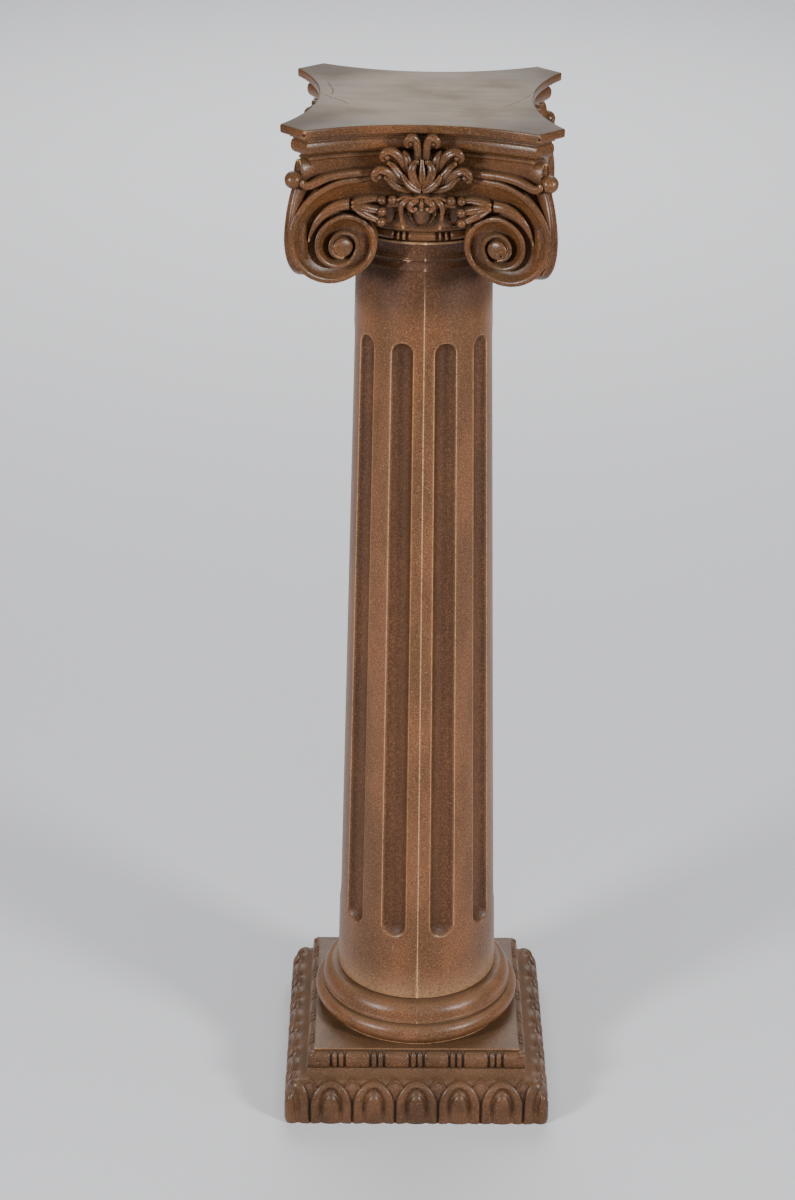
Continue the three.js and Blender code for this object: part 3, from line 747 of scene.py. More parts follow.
def ball(x, z, proud, radius, squash=1.0, around=15, down=(8, 172, 9)):
    """A ball on the front, or a part of one: down is its first and last ring in degrees, and their number."""
    spin = np.radians(np.arange(around) * 360 / around)
    rings = []
    for angle in np.radians(np.linspace(*down)):
        r, out = radius * math.sin(angle), proud + radius * squash * math.cos(angle)
        rings.append(on_front(x + r * np.cos(spin), z + r * np.sin(spin), out))
    return skin(rings)


right = volute()
right_eye = ball(EYE_X, EYE_Z, *EYE_DOME, around=28, down=(8, 150, 12))
left, left_eye = (
    moved(solid, lambda points: mirrored(points) + [LEFT_SHIFT, 0, 0]) for solid in (right, right_eye)
)
right = (right[0] + [RIGHT_SHIFT, 0, 0], right[1])
print("faces of a volute:", len(right[1]))

# %% [markdown]
# ## The ornament
# The palmette, the husks and the small curls are all leaves of one kind: a stem that swells, bends over and
# ends in a rolled tip. So one helper sweeps a low rounded section along a smooth path, with a groove down its
# middle where the leaf is folded. Each leaf is given by a few places: across, up, how proud it stands, and
# half its width.

# %% Capital: leaves
def smooth_path(points, steps=4):
    """A smooth path through points of any number of values."""
    points = np.asarray(points, float)
    ends = np.concatenate([[2 * points[0] - points[1]], points, [2 * points[-1] - points[-2]]])
    made = []
    for a, b, c, d in zip(ends[:-3], ends[1:-2], ends[2:-1], ends[3:]):
        t = np.linspace(0, 1, steps, endpoint=False)[:, None]
        bend, twist = 2 * a - 5 * b + 4 * c - d, 3 * b - a - 3 * c + d
        made.append(0.5 * (2 * b + (c - a) * t + bend * t**2 + twist * t**3))
    return np.concatenate([*made, points[-1:]])


def frond(places, groove=0.3, crown=0.8, sunk=6.0, steps=4):
    """A leaf along a path on the front, with a low round back and a groove down its middle."""
    path = smooth_path(places, steps)
    along = np.gradient(path[:, :2], axis=0)
    along /= np.linalg.norm(along, axis=1)[:, None]
    bow = np.radians(np.linspace(0, 180, 9))
    sideways = np.cos(bow)
    swell = np.sin(bow) * crown * (1 - groove * np.exp(-((sideways / 0.3) ** 2)))
    rings = []
    for (x, z, proud, half), (dx, dz) in zip(path, along):
        s = np.concatenate([sideways, [-0.8, 0.8]]) * half
        h = np.concatenate([proud + swell * half, [proud - sunk, proud - sunk]])
        rings.append(on_front(x - dz * s, z + dx * s, h))
    return skin(rings)


palmette = [
    [[2.5, 944, 3, 2.2], [3.4, 960, 6, 2.8], [3.6, 976, 9, 3.2], [4.8, 986, 11, 3.4],
     [8.4, 990.3, 12.5, 3.3], [12.6, 987.8, 12, 3.0], [13.2, 983.4, 10, 2.3], [11.0, 981.2, 8.5, 1.6]],
    [[4.5, 943, 3, 2.2], [10.5, 955, 6, 2.8], [15.5, 966, 8.5, 3.2], [20.5, 974.5, 11, 3.5],
     [27.0, 978.6, 12, 3.4], [32.3, 976.6, 11.5, 3.0], [33.6, 971.8, 9.5, 2.3], [31.2, 969.4, 8.2, 1.6]],
    [[6.0, 942, 3, 2.2], [15.0, 947, 6, 2.8], [23.0, 954.5, 8.5, 3.2], [29.5, 960.5, 11, 3.4],
     [36.0, 962.3, 12, 3.3], [40.2, 959.0, 11.5, 2.9], [40.6, 954.4, 9.5, 2.2], [38.0, 952.2, 8, 1.6]],
]
between_lobes = [
    [[2.0, 946, 6, 2.0], [7.0, 956, 8, 3.0], [10.8, 966, 10, 3.4], [13.0, 973.0, 10.5, 2.8],
     [16.6, 976.4, 9.0, 1.4]],
    [[3.0, 944, 6, 2.0], [12.0, 951, 8, 3.0], [19.5, 958.5, 10, 3.4], [24.6, 965.0, 10, 2.7],
     [28.8, 967.8, 8.5, 1.4]],
    [[4.0, 943, 6, 2.0], [14.0, 944.0, 8, 2.8], [23.0, 948.0, 9.5, 3.0], [28.6, 953.6, 9, 2.2],
     [32.2, 955.2, 8, 1.2]],
    [[1.5, 944, 9, 2.4], [5.8, 952, 12.0, 3.6], [8.6, 961, 13.2, 3.6], [6.4, 968, 12.6, 2.8],
     [2.6, 968.6, 11.0, 1.6]],
    [[1.0, 943, 10, 2.0], [6.5, 946, 12, 3.0], [12.4, 951.6, 13, 3.0], [16.0, 957.6, 11.5, 1.8]],
]
lobe_rolls = [(9.3, 984.4, 9.5, 2.6), (29.4, 972.9, 9.5, 2.6), (36.4, 956.0, 9.5, 2.6)]
husk_fingers = [
    [[59.0, 932.5, 4.5, 2.2], [52.0, 934.5, 5.5, 3.4], [43.0, 935.5, 5.5, 3.0], [36.5, 934.8, 5.0, 2.4]],
    [[59.0, 931.5, 5.0, 2.2], [51.0, 929.5, 7.0, 3.4], [42.5, 926.8, 7.0, 3.2], [36.5, 925.0, 6.0, 2.4]],
    [[58.0, 930.0, 4.5, 2.2], [50.5, 924.5, 5.5, 3.2], [42.5, 919.5, 5.5, 3.0], [37.0, 916.2, 5.0, 2.4]],
]
husk_balls = [(34.0, 934.5, 6.0, 3.9), (33.8, 924.7, 7.0, 3.9), (34.3, 915.3, 6.0, 3.9)]
tongue = [[61.5, 931.8, 2.0, 4.6], [70.0, 931.2, 2.0, 4.6], [80.0, 926.5, 1.0, 4.0], [88.5, 918.0, -1.0, 3.0],
          [94.0, 907.0, -3.5, 1.6], [96.0, 900.0, -5.0, 0.6]]
scroll = [[30.0, 957.8, 0.8, 2.8], [50.0, 957.6, 1.0, 3.0], [66.0, 957.7, 1.0, 3.0], [79.0, 956.0, 1.0, 3.2],
          [88.5, 952.6, 1.0, 3.4], [95.5, 950.4, 0.8, 3.4], [100.0, 952.4, 0.4, 2.6], [99.4, 955.4, 0.0, 1.6]]
brow_curls = [(25.0, 934.6, 6.5, 4.1), (5.4, 927.4, 8.6, 2.2), (20.0, 931.4, 6.5, 2.4)]
brow_leaves = [
    [[2.5, 935.0, 9.5, 1.8], [7.4, 933.6, 10.8, 2.8], [10.0, 929.4, 10.0, 2.6], [7.6, 925.8, 9.0, 2.0],
     [5.0, 926.6, 8.0, 1.2]],
    [[8.0, 936.0, 8.5, 1.8], [13.6, 934.4, 9.8, 2.6], [17.4, 930.0, 9.0, 2.4], [17.6, 923.0, 7.0, 1.8],
     [16.6, 915.0, 5.6, 1.5], [15.6, 908.4, 4.2, 0.9]],
]

# %% [markdown]
# The right half of the front is made leaf by leaf, and mirrored. The brow under the palmette, its wavy rim
# and the leaves on the middle line cross both halves. All of it becomes one solid, which then goes to each
# side.

# %% Capital: the ornament of one side
PALMETTE_BACK = (958.0, 22.0, 17.5, 3.0)  # height of its middle, half its width and height, and how proud
BACK_STEPS = [(1.0, -9.0), (1.0, -2.0), (0.96, 0.4), (0.85, 1.6), (0.65, 2.4), (0.35, 2.9), (0.08, 3.0)]
RIM_WAVE = 14.0  # length of a wave of the rim


def half_of_front():
    """The leaves of the right half of the front."""
    leaves = [frond(lobe) for lobe in palmette]
    leaves += [frond(leaf, groove=0.5) for leaf in between_lobes]
    leaves += [ball(*roll) for roll in lobe_rolls]
    leaves += [frond(finger, sunk=19) for finger in husk_fingers]
    leaves += [ball(*tip) for tip in husk_balls]
    leaves += [frond(tongue, groove=0.0), frond(scroll, groove=0.0, crown=0.6, sunk=12)]
    leaves += [frond(leaf, groove=0.4, sunk=14) for leaf in brow_leaves]
    leaves += [ball(*curl) for curl in brow_curls]
    return leaves


def low_dome(height, half_width, half_height, proud):
    """A low oval swelling on the middle of the front."""
    around = np.radians(np.arange(40) * 9)
    rings = []
    for size, out in BACK_STEPS:
        x, z = half_width * size * np.cos(around), height + half_height * size * np.sin(around)
        rings.append(on_front(x, z, proud + out))
    return skin(rings)


def middle_of_front():
    """The leaves that cross the middle of the front, as groups of solids that don't touch."""
    brow = [[-29.0, 931.0, 3.5, 3.6], [-16.0, 932.0, 5.0, 4.4], [0.0, 932.6, 6.0, 4.8],
            [16.0, 932.0, 5.0, 4.4], [29.0, 931.0, 3.5, 3.6]]
    rim = []
    for x in range(-25, 26, 2):
        wave = 0.9 * math.cos(x * 2 * math.pi / RIM_WAVE)
        rim.append([x, 937.6 + wave - 0.004 * x * x, 10.0 - 0.005 * x * x, 1.4])
    stem = [[0.0, 937.0, 8.0, 1.4], [0.0, 932.0, 11.2, 1.9], [0.0, 926.0, 9.5, 1.2]]
    heart = [[0.0, 942.0, 6.0, 2.4], [0.6, 952.0, 11.5, 3.4], [0.4, 961.0, 12.5, 2.8],
             [0.0, 971.0, 11.0, 1.2]]
    return [
        [frond(brow, groove=0.0, crown=0.7, sunk=18), low_dome(*PALMETTE_BACK)],
        [frond(rim, groove=0.0, sunk=12, steps=3)],
        [frond(stem, groove=0.0)],
        [frond(heart, groove=0.55)],
    ]


def solid_of(made):
    """The points, in millimetres, and the triangles of an object, which is then removed. Two triangles that
    lie back to back on the same points are a join's leftover, and both go."""
    mesh = made.data
    points = np.empty(len(mesh.vertices) * 3)
    mesh.vertices.foreach_get("co", points)
    mesh.calc_loop_triangles()
    faces = [list(triangle.vertices) for triangle in mesh.loop_triangles]
    repeats = Counter(frozenset(face) for face in faces)
    faces = [face for face in faces if repeats[frozenset(face)] == 1]
    bpy.data.objects.remove(made)
    bpy.data.meshes.remove(mesh)
    return points.reshape(-1, 3) / MM, faces


right_leaves = half_of_front()
left_leaves = [moved(leaf, mirrored) for leaf in right_leaves]
ornament = solid_of(united("ornament", middle_of_front() + [[leaf] for leaf in right_leaves + left_leaves]))

# %% [markdown]
# Where two volutes meet at a corner, a strip of leaf runs down between them. Above it, the scrolls of both
# faces end in one ball, and a small upright leaf fills the cut corner under the mouldings.

# %% Capital: corners
STRIP_OUT = 160.0  # along the diagonal, where the strip stands out furthest
STRIP_REEDS = [
    (-4.7, -1.6), (-4.3, 0.0), (-3.6, 0.2), (-2.8, -0.7), (-1.8, 0.1), (-0.9, 0.5), (0.0, -0.3), (0.9, 0.5),
    (1.8, 0.1), (2.8, -0.7), (3.6, 0.2), (4.3, 0.0), (4.7, -1.6), (5.0, -7.0), (0.0, -16.0), (-5.0, -7.0),
]  # aside from the diagonal, and out from the strip's face
CORNER_BALL = (108.2, 954.6, 7.7)  # across and out, height, and radius
CORNER_LEAF = [[950, 147, 4.6], [957, 146.5, 6.2], [964, 146, 6.0], [969.5, 146, 3.6], [971.5, 146.5, 0.8]]


def corner_points(out, aside, height):
    """Points by the distance along the front right diagonal and the distance aside from it."""
    c = math.sqrt(0.5)
    return np.stack([(out + aside) * c, -(out - aside) * c, height + 0 * out], axis=-1)


def corner_strip():
    rings = []
    aside, reeds = np.array(STRIP_REEDS).T
    for height in np.concatenate([[874.6, 875.0, 876.0], np.linspace(880, 952, 19)]):
        fall = (905 - height) / 30 if height < 905 else (height - 905) / 40
        out = STRIP_OUT - 8 * fall**2 - (1.0 if height < 874.8 else 0.0)
        rings.append(corner_points(out + reeds, aside, height))
    return skin(rings)


def free_ball(x, y, z, radius, around=10, down=(12, 168, 7)):
    """A ball anywhere: down is its first and last ring in degrees, and their number."""
    spin = np.radians(np.arange(around) * 360 / around)
    rings = []
    for angle in np.radians(np.linspace(*down)):
        r, height = radius * math.sin(angle), z + radius * math.cos(angle)
        rings.append(np.stack([x + r * np.cos(spin), y + r * np.sin(spin), height + 0 * spin], -1))
    return skin(rings)


def corner_leaf():
    rings = []
    share = np.linspace(-1, 1, 13)
    cleft = 1 - 0.75 * np.exp(-(((abs(share) - 0.45) / 0.16) ** 2))
    bulge = 3.0 * np.sqrt(np.clip(1 - share**2, 0, 1)) * cleft
    for height, out, half in smooth_path(CORNER_LEAF, 5):
        ring_out = np.concatenate([out + bulge, [out - 12, out - 12]])
        rings.append(corner_points(ring_out, np.concatenate([share * half, [half, -half]]), height))
    return skin(rings)


# %% [markdown]
# Now the capital can be joined. Neighbouring volutes touch each other at the corners, so those of the front
# and the back go in first, and those of the left and the right side after them.

# %% Capital: joining
ball_place, ball_height, ball_radius = CORNER_BALL
corner_ball = free_ball(ball_place, -ball_place, ball_height, ball_radius, 24, (6, 174, 13))
capital = united(
    "capital_casting",
    [
        [abacus],
        [bell],
        [egg_course],
        neck_beads,
        copies([right, left], (0, 180)),
        copies([right, left], (90, 270)),
        copies([right_eye, left_eye]),
        copies([corner_strip()]),
        copies([corner_leaf()]),
        copies([corner_ball]),
        copies([ornament]),
    ],
)

# %% [markdown]
# Time has marked the capital. Fine cracks run in from the hollow sides of the top, air bubbles left small
# holes at two corners of its front edge, and another sits beside the eye of each volute. They are cut into
# the mesh with a boolean, so dirt can gather in them.

# %% Capital: cracks and small holes
# places across and back along a crack, and half its width
CRACKS = [
    ([(-93.8, -2.1), (-88.2, 1.6), (-80.9, -7.9), (-73.7, -15.5), (-66.2, -28.8)], 0.5),
    ([(-90.0, 53.1), (-86.5, 36.0), (-82.2, 17.7), (-82.8, 2.0), (-88.2, 1.0)], 0.4),
    ([(95.0, 20.8), (85.9, 0.0), (79.2, -13.7), (68.5, -29.6)], 0.3),
]
CRACK_DEPTH = 0.9
EDGE_HOLES = [(-98.2, -119.4, 995.6, 1.7), (98.2, -119.4, 995.6, 1.7), (4.0, -94.2, 999.6, 0.9)]
EYE_HOLES = [(EYE_X + 3.4, EYE_Z - 4.5, 3.3), (-EYE_X - 7.4, EYE_Z - 4.5, 2.6)]  # across, up and how proud
EYE_HOLE_RADIUS = 1.3


def crack(places, half):
    """A thin wedge along a wandering line on the top."""
    path = spaced(np.array(places), 2.2)
    along = np.gradient(path, axis=0)
    along /= np.linalg.norm(along, axis=1)[:, None]
    across = np.stack([-along[:, 1], along[:, 0]], axis=1)
    steps = np.arange(len(path))
    path = path + across * (0.8 * np.sin(1.9 * steps) + 0.5 * np.sin(3.1 * steps + 1))[:, None]
    widths = half * np.clip(np.minimum(steps + 1, len(path) - steps) / 4, 0.3, 1)
    up = np.array([0.5, 0.5, -CRACK_DEPTH, -CRACK_DEPTH])
    rings = []
    for (x, y), (dx, dy), width in zip(path, across, widths):
        side = width * np.array([-1, 1, 0.15, -0.15])
        rings.append(np.stack([x + dx * side, y + dy * side, TOTAL_HEIGHT + up], axis=-1))
    return skin(rings)


def one_casting(body):
    """Deletes what is not joined to the largest part: slivers of a join, and the walls of sealed hollows."""
    mesh = bmesh.new()
    mesh.from_mesh(body.data)
    parts, left_over = [], set(mesh.verts)
    while left_over:
        front = [left_over.pop()]
        part = set(front)
        while front:
            near = {edge.other_vert(vert) for vert in front for edge in vert.link_edges} & left_over
            left_over -= near
            part |= near
            front = list(near)
        parts.append(part)
    parts.sort(key=len)
    print(body.name, "loose parts deleted:", [len(part) for part in parts[:-1]])
    bmesh.ops.delete(mesh, geom=[vert for part in parts[:-1] for vert in part], context="VERTS")
    mesh.to_mesh(body.data)
    mesh.free()


holes = list(EDGE_HOLES)
for angle in QUARTERS:
    holes += [(*turned(on_front(*place), angle), EYE_HOLE_RADIUS) for place in EYE_HOLES]
worked(capital, [free_ball(*hole) for hole in holes], "DIFFERENCE")
for places, half in CRACKS:
    worked(capital, [crack(places, half)], "DIFFERENCE")
one_casting(capital)
print("capital faces after carving:", len(capital.data.polygons))

# %% [markdown]
# The capital was glued on a little out of line with the plinth, which shows when the two are seen one above
# the other. Turning the mesh, and not the object, keeps the piece at the origin of the frame.

# %% Capital: turned a little
CAPITAL_TURN = -2.5  # degrees that the capital was glued out of line with the plinth
capital.data.transform(Matrix.Rotation(math.radians(CAPITAL_TURN), 4, "Z"))

# %% [markdown]
# ## Where stain stays and where it wears off
# The maker brushed a dark stain over the raw casting and wiped it off, so it stayed in the hollows, and years
# of handling rubbed the sharp arrises pale. Both depend on the shape alone, so they are measured on the mesh
# and kept on its points: short rays sent out of the surface tell how shut in a place is, and short rays sent
# into it tell how thin the edge is there. The materials only read the two numbers.

# %% Measure hollows and edges
RAYS = 12
HOLLOW_REACH = 14.0
EDGE_REACH = 2.6
LIFT = 0.12  # the rays start this far off the surface


def ray_directions(normals):
    """A spread of directions round each normal."""
    helper = np.where(np.abs(normals[:, 2:3]) < 0.9, [[0.0, 0.0, 1.0]], [[1.0, 0.0, 0.0]])
    side = np.cross(normals, helper)
    side /= np.linalg.norm(side, axis=1)[:, None]
    other = np.cross(normals, side)
    spread = []
    for k in range(RAYS):
        lean = math.acos(1 - 0.92 * (k + 0.5) / RAYS)
        spin = k * math.pi * (3 - math.sqrt(5))
        aside = side * math.cos(spin) + other * math.sin(spin)
        spread.append(normals * math.cos(lean) + aside * math.sin(lean))
    return np.stack(spread, axis=1)


def smoothed(values, edges, rounds):
    """Values averaged with those of their neighbours along the edges, a number of times."""
    for _ in range(rounds):
        total, count = values.copy(), np.ones(len(values))
        for a, b in ((edges[:, 0], edges[:, 1]), (edges[:, 1], edges[:, 0])):
            np.add.at(total, a, values[b])
            np.add.at(count, a, 1)
        values = total / count
    return values


def shut_in(tree, points, directions, reach):
    """How much of the view from each point is closed, nearer things counting for more."""
    found = np.zeros(len(points))
    for number, (point, rays) in enumerate(zip(points.tolist(), directions.tolist())):
        start = Vector(point)
        for ray in rays:
            distance = tree.ray_cast(start, Vector(ray), reach)[3]
            if distance is not None:
                found[number] += 1 - 0.5 * distance / reach
    return found / RAYS


def measure_surface(piece, marks=None):
    """Keeps both numbers on the points of a piece. Marks is a function that adds to them."""
    mesh = piece.data
    points, normals = np.empty(len(mesh.vertices) * 3), np.empty(len(mesh.vertices) * 3)
    mesh.vertices.foreach_get("co", points)
    mesh.vertices.foreach_get("normal", normals)
    points, normals = points.reshape(-1, 3), normals.reshape(-1, 3)
    edges = np.empty(len(mesh.edges) * 2, dtype=np.int64)
    mesh.edges.foreach_get("vertices", edges)
    edges = edges.reshape(-1, 2)
    tree = BVHTree.FromPolygons(points.tolist(), [face.vertices[:] for face in mesh.polygons])
    hollow = shut_in(tree, points + normals * LIFT * MM, ray_directions(normals), HOLLOW_REACH * MM)
    edge = shut_in(tree, points - normals * LIFT * MM, ray_directions(-normals), EDGE_REACH * MM)
    extra = marks(points / MM) if marks else (0.0, 0.0)
    # on the shaft the hollow number also carries the painted shadow under the capital, which comes from its
    # marks
    for name, values, rounds, more in (("hollow", hollow, 2, extra[0]), ("edge", edge, 1, extra[1])):
        attribute = mesh.attributes.new(name, "FLOAT", "POINT")
        attribute.data.foreach_set("value", (smoothed(values, edges, rounds) + more).astype(np.float32))
    print(piece.name, "hollow up to", round(hollow.max(), 2), "edge up to", round(edge.max(), 2))


# %% [markdown]
# The shaft has marks that its shape doesn't explain. Stain ran together in the flutes, the top of the shaft
# is darkened with a painted shadow of the capital, the edges of the flutes and the seam were rubbed pale, a
# light line of glue shows at its foot, and a chip in the neck ring bares the pale resin. They are added to
# the two numbers.

# %% Marks on the shaft
CHIP = (-13.7, 871.5, 2.2)  # degrees round from the front, height and size
FLUTE_STAIN, FLUTE_BARE = 0.5, 0.14  # stain on the walls of a flute, and what is missing on its floor
# painted shadow of the capital: how dark it makes the top of the shaft, from what height, and over what
# height
TOP_PAINTED_SHADOW, TOP_PAINTED_SHADOW_START, TOP_PAINTED_SHADOW_HEIGHT = 0.62, 765.0, 70.0
SEAM_PALE, SEAM_PALE_BASE = 0.32, 0.16  # on the tapering part, and on the base mouldings
RIM_PALE, GLUE_PALE, CHIP_PALE = 0.42, 0.6, 1.2


def shaft_marks(points):
    """What to add to the hollow number and to the edge number of each point."""
    around = np.degrees(np.arctan2(points[:, 0], -points[:, 1])) % 360
    radius, height = np.hypot(points[:, 0], points[:, 1]), points[:, 2]
    sink = flute_sink(around % PITCH - PITCH / 2, np.clip(height, SHAFT_LOW[1], SHAFT_HIGH[1]))
    rim = np.exp(-(((sink - 0.25) / 0.3) ** 2)) * (height > SHAFT_LOW[1]) * (height < SHAFT_HIGH[1])
    seam = np.exp(-((radius * np.sin(np.radians(around)) / (1.2 * SEAM_HALF)) ** 2))
    seam *= np.where(height > SHAFT_LOW[1], SEAM_PALE, SEAM_PALE_BASE)
    glue = np.clip(1 - (height - PLINTH_TOP - JOINT_GAP) / 1.2, 0, 1)
    from_chip = np.hypot(radius * np.sin(np.radians(around - CHIP[0])), height - CHIP[1]) / CHIP[2]
    chip = np.exp(-(from_chip**2)) * (radius < 67) * (height > 860)
    share = sink / FLUTE_DEPTH
    stain = FLUTE_STAIN * ease(share * 2.4) - FLUTE_BARE * ease((share - 0.45) / 0.5)
    # painted shadow of the capital on the top of the shaft, added to the stain
    stain += TOP_PAINTED_SHADOW * ease((height - TOP_PAINTED_SHADOW_START) / TOP_PAINTED_SHADOW_HEIGHT)
    return stain - 0.5 * rim, RIM_PALE * rim + seam + GLUE_PALE * glue + CHIP_PALE * chip


measure_surface(plinth)
measure_surface(shaft, shaft_marks)
measure_surface(capital)

# %% [markdown]
# ## The finish: cast resin, stained like old walnut
# The columns are polyester resin filled with stone dust. The filler gives the grain: a salt-and-pepper
# speckle. Over it lies a brown stain with a little gloss. Colours are written as they look on screen, and one
# function turns them into the linear values that the renderer works with. Every node is added by one other
# function, and a link can be given as a node, which then stands for the first of its outputs that is in use.

# %% Colour and node helpers
RESIN_IOR = 1.5
SMOOTH = {"interpolation_type": "SMOOTHSTEP"}  # for a range: its inputs 1 and 2 are read, 3 and 4 are given


def linear(code):
    """The linear colour of a hex code."""
    channels = [int(code[k : k + 2], 16) / 255 for k in (1, 3, 5)]
    return [c / 12.92 if c <= 0.04045 else ((c + 0.055) / 1.055) ** 2.4 for c in channels] + [1.0]


def add(material, kind, links=None, **settings):
    """Adds a node with its settings, and gives each named or numbered input a value or a link."""
    node = material.node_tree.nodes.new(kind)
    for name, value in settings.items():
        setattr(node, name, value)
    for socket, value in (links or {}).items():
        if isinstance(value, bpy.types.Node):
            value = next(output for output in value.outputs if output.enabled)
        if isinstance(value, bpy.types.NodeSocket):
            material.node_tree.links.new(value, node.inputs[socket])
        else:
            node.inputs[socket].default_value = value
    return node


def new_material(name):
    material = bpy.data.materials.new(name)
    material.use_nodes = True
    material.node_tree.nodes.clear()
    return material


# %% [markdown]
# One function makes the resin of all three castings. The layers go on in the order in which the real ones
# did: the stained ground with its cloudy unevenness, the speckle of the filler, the dark stain left in the
# hollows, which on the shaft also paints the shadow under the capital, the pale rubbed edges, and last the
# dust that settles on what faces up. Each layer is a colour and the share of it that shows. Stain and dust
# are dull, and the bare resin between them has a soft sheen.

# %% The stained resin
GRAIN = 0.9  # the stone dust is finer than this, and drawn this coarse so that its speckle shows
CLOUD = 38.0  # size of the uneven patches of the stain
PIT = 5.5  # distance between the small air bubbles that opened at the surface
PIT_SHARE, DUST_SHARE = 0.8, 0.42
PIT_COLOUR = "#2a1c12"


def stained_resin(name, ground, shade, stain, worn, dust, kept_share, streaks=1.0):
    resin = new_material(name)
    place = add(resin, "ShaderNodeTexCoord").outputs["Object"]
    stretched = add(resin, "ShaderNodeMapping", {"Vector": place, "Scale": (1, 1, streaks)})
    cloud = add(resin, "ShaderNodeTexNoise", {"Vector": stretched, "Scale": 1 / (CLOUD * MM), "Detail": 4.0})
    grain = add(resin, "ShaderNodeTexNoise", {"Vector": place, "Scale": 1 / (GRAIN * MM), "Detail": 1.5})
    coarse = add(resin, "ShaderNodeTexNoise", {"Vector": place, "Scale": 0.4 / (GRAIN * MM), "Detail": 2.0})
    bubbles = add(resin, "ShaderNodeTexVoronoi", {"Vector": place, "Scale": 1 / (PIT * MM)})
    hollow = add(resin, "ShaderNodeAttribute", attribute_name="hollow").outputs["Fac"]
    edge = add(resin, "ShaderNodeAttribute", attribute_name="edge").outputs["Fac"]
    normal = add(resin, "ShaderNodeNewGeometry").outputs["Normal"]
    upward = add(resin, "ShaderNodeSeparateXYZ", {"Vector": normal}).outputs["Z"]

    cloudy = add(resin, "ShaderNodeMapRange", {0: cloud, 1: 0.34, 2: 0.66}, **SMOOTH)
    dark_grain = add(resin, "ShaderNodeMapRange", {0: grain, 1: 0.52, 2: 0.7, 4: 0.7}, **SMOOTH)
    light_grain = add(resin, "ShaderNodeMapRange", {0: grain, 1: 0.46, 2: 0.28, 4: 0.28}, **SMOOTH)
    limits = {0: coarse, 1: 0.3, 2: 0.62, 3: 0.55 * kept_share, 4: kept_share}
    patchy = add(resin, "ShaderNodeMapRange", limits, **SMOOTH)
    # the stain kept in the hollows; on the shaft this share also holds the painted shadow under the capital
    stain_and_painted_shadow = add(resin, "ShaderNodeMapRange", {0: hollow, 1: 0.14, 2: 0.6, 4: patchy}, **SMOOTH)
    limits = {0: bubbles.outputs["Color"], 1: 0.72, 2: 0.8, 4: PIT_SHARE}
    some = add(resin, "ShaderNodeMapRange", limits, **SMOOTH)
    pit = add(resin, "ShaderNodeMapRange", {0: bubbles, 1: 0.16, 2: 0.08, 4: some}, **SMOOTH)
    patchy = add(resin, "ShaderNodeMapRange", {0: coarse, 1: 0.3, 2: 0.6, 3: 0.2625, 4: 0.75}, **SMOOTH)
    rubbed = add(resin, "ShaderNodeMapRange", {0: edge, 1: 0.27, 2: 0.56, 4: patchy}, **SMOOTH)
    limits = {0: coarse, 1: 0.2, 2: 0.7, 3: DUST_SHARE / 2, 4: DUST_SHARE}
    patchy = add(resin, "ShaderNodeMapRange", limits, **SMOOTH)
    settled = add(resin, "ShaderNodeMapRange", {0: upward, 1: 0.45, 2: 0.95, 4: patchy}, **SMOOTH)

    colour = linear(ground)
    layers = [(shade, cloudy), (stain, dark_grain), (worn, light_grain), (stain, stain_and_painted_shadow), (PIT_COLOUR, pit)]
    for over, share in layers + [(worn, rubbed), (dust, settled)]:
        colour = add(resin, "ShaderNodeMix", {0: share, 6: colour, 7: linear(over)}, data_type="RGBA")

    dull = add(resin, "ShaderNodeMapRange", {0: grain, 1: 0.3, 2: 0.7, 3: 0.28, 4: 0.38}, **SMOOTH)
    dull = add(resin, "ShaderNodeMath", {0: stain_and_painted_shadow, 1: 0.22 / kept_share, 2: dull}, operation="MULTIPLY_ADD")
    dull = add(resin, "ShaderNodeMath", {0: settled, 1: 0.2 / DUST_SHARE, 2: dull}, operation="MULTIPLY_ADD")
    height = add(resin, "ShaderNodeMath", {0: pit, 1: -1.5 / PIT_SHARE, 2: grain}, operation="MULTIPLY_ADD")
    relief = add(resin, "ShaderNodeBump", {"Height": height, "Strength": 0.35, "Distance": 0.25 * MM})
    surface = {"Base Color": colour, "Roughness": dull, "Normal": relief}
    surface |= {"IOR": RESIN_IOR, "Specular IOR Level": 0.27}
    shader = add(resin, "ShaderNodeBsdfPrincipled", surface)
    add(resin, "ShaderNodeOutputMaterial", {"Surface": shader})
    return resin


plinth_resin = stained_resin(
    "stained cast resin, plinth", "#583a26", "#442d1c", "#221307", "#ab8058", "#4d3d2b", 0.72
)
shaft_resin = stained_resin(
    "stained cast resin, shaft", "#69432a", "#543620", "#331a06", "#c09870", "#6b543f", 0.88, streaks=0.35
)
capital_resin = stained_resin(
    "stained cast resin, capital", "#59371e", "#442a15", "#1e1006", "#b98a5e", "#5c4a36", 0.58
)
print("resins:", plinth_resin.name, "|", shaft_resin.name, "|", capital_resin.name)

# %% [markdown]
# The flat top was wiped with a paler wash, and brush strokes still show in it as faint streaks from side to
# side. It gets browner towards the horns, and its edge is rubbed like the others.

# %% The washed top
STROKES_PER_METRE = (14, 60, 20)  # a stroke is about 70 mm long and 17 mm wide
WASH_CLOUD = 60.0
BROWN_FROM, BROWN_TO = 60.0, 135.0  # distances from the axis


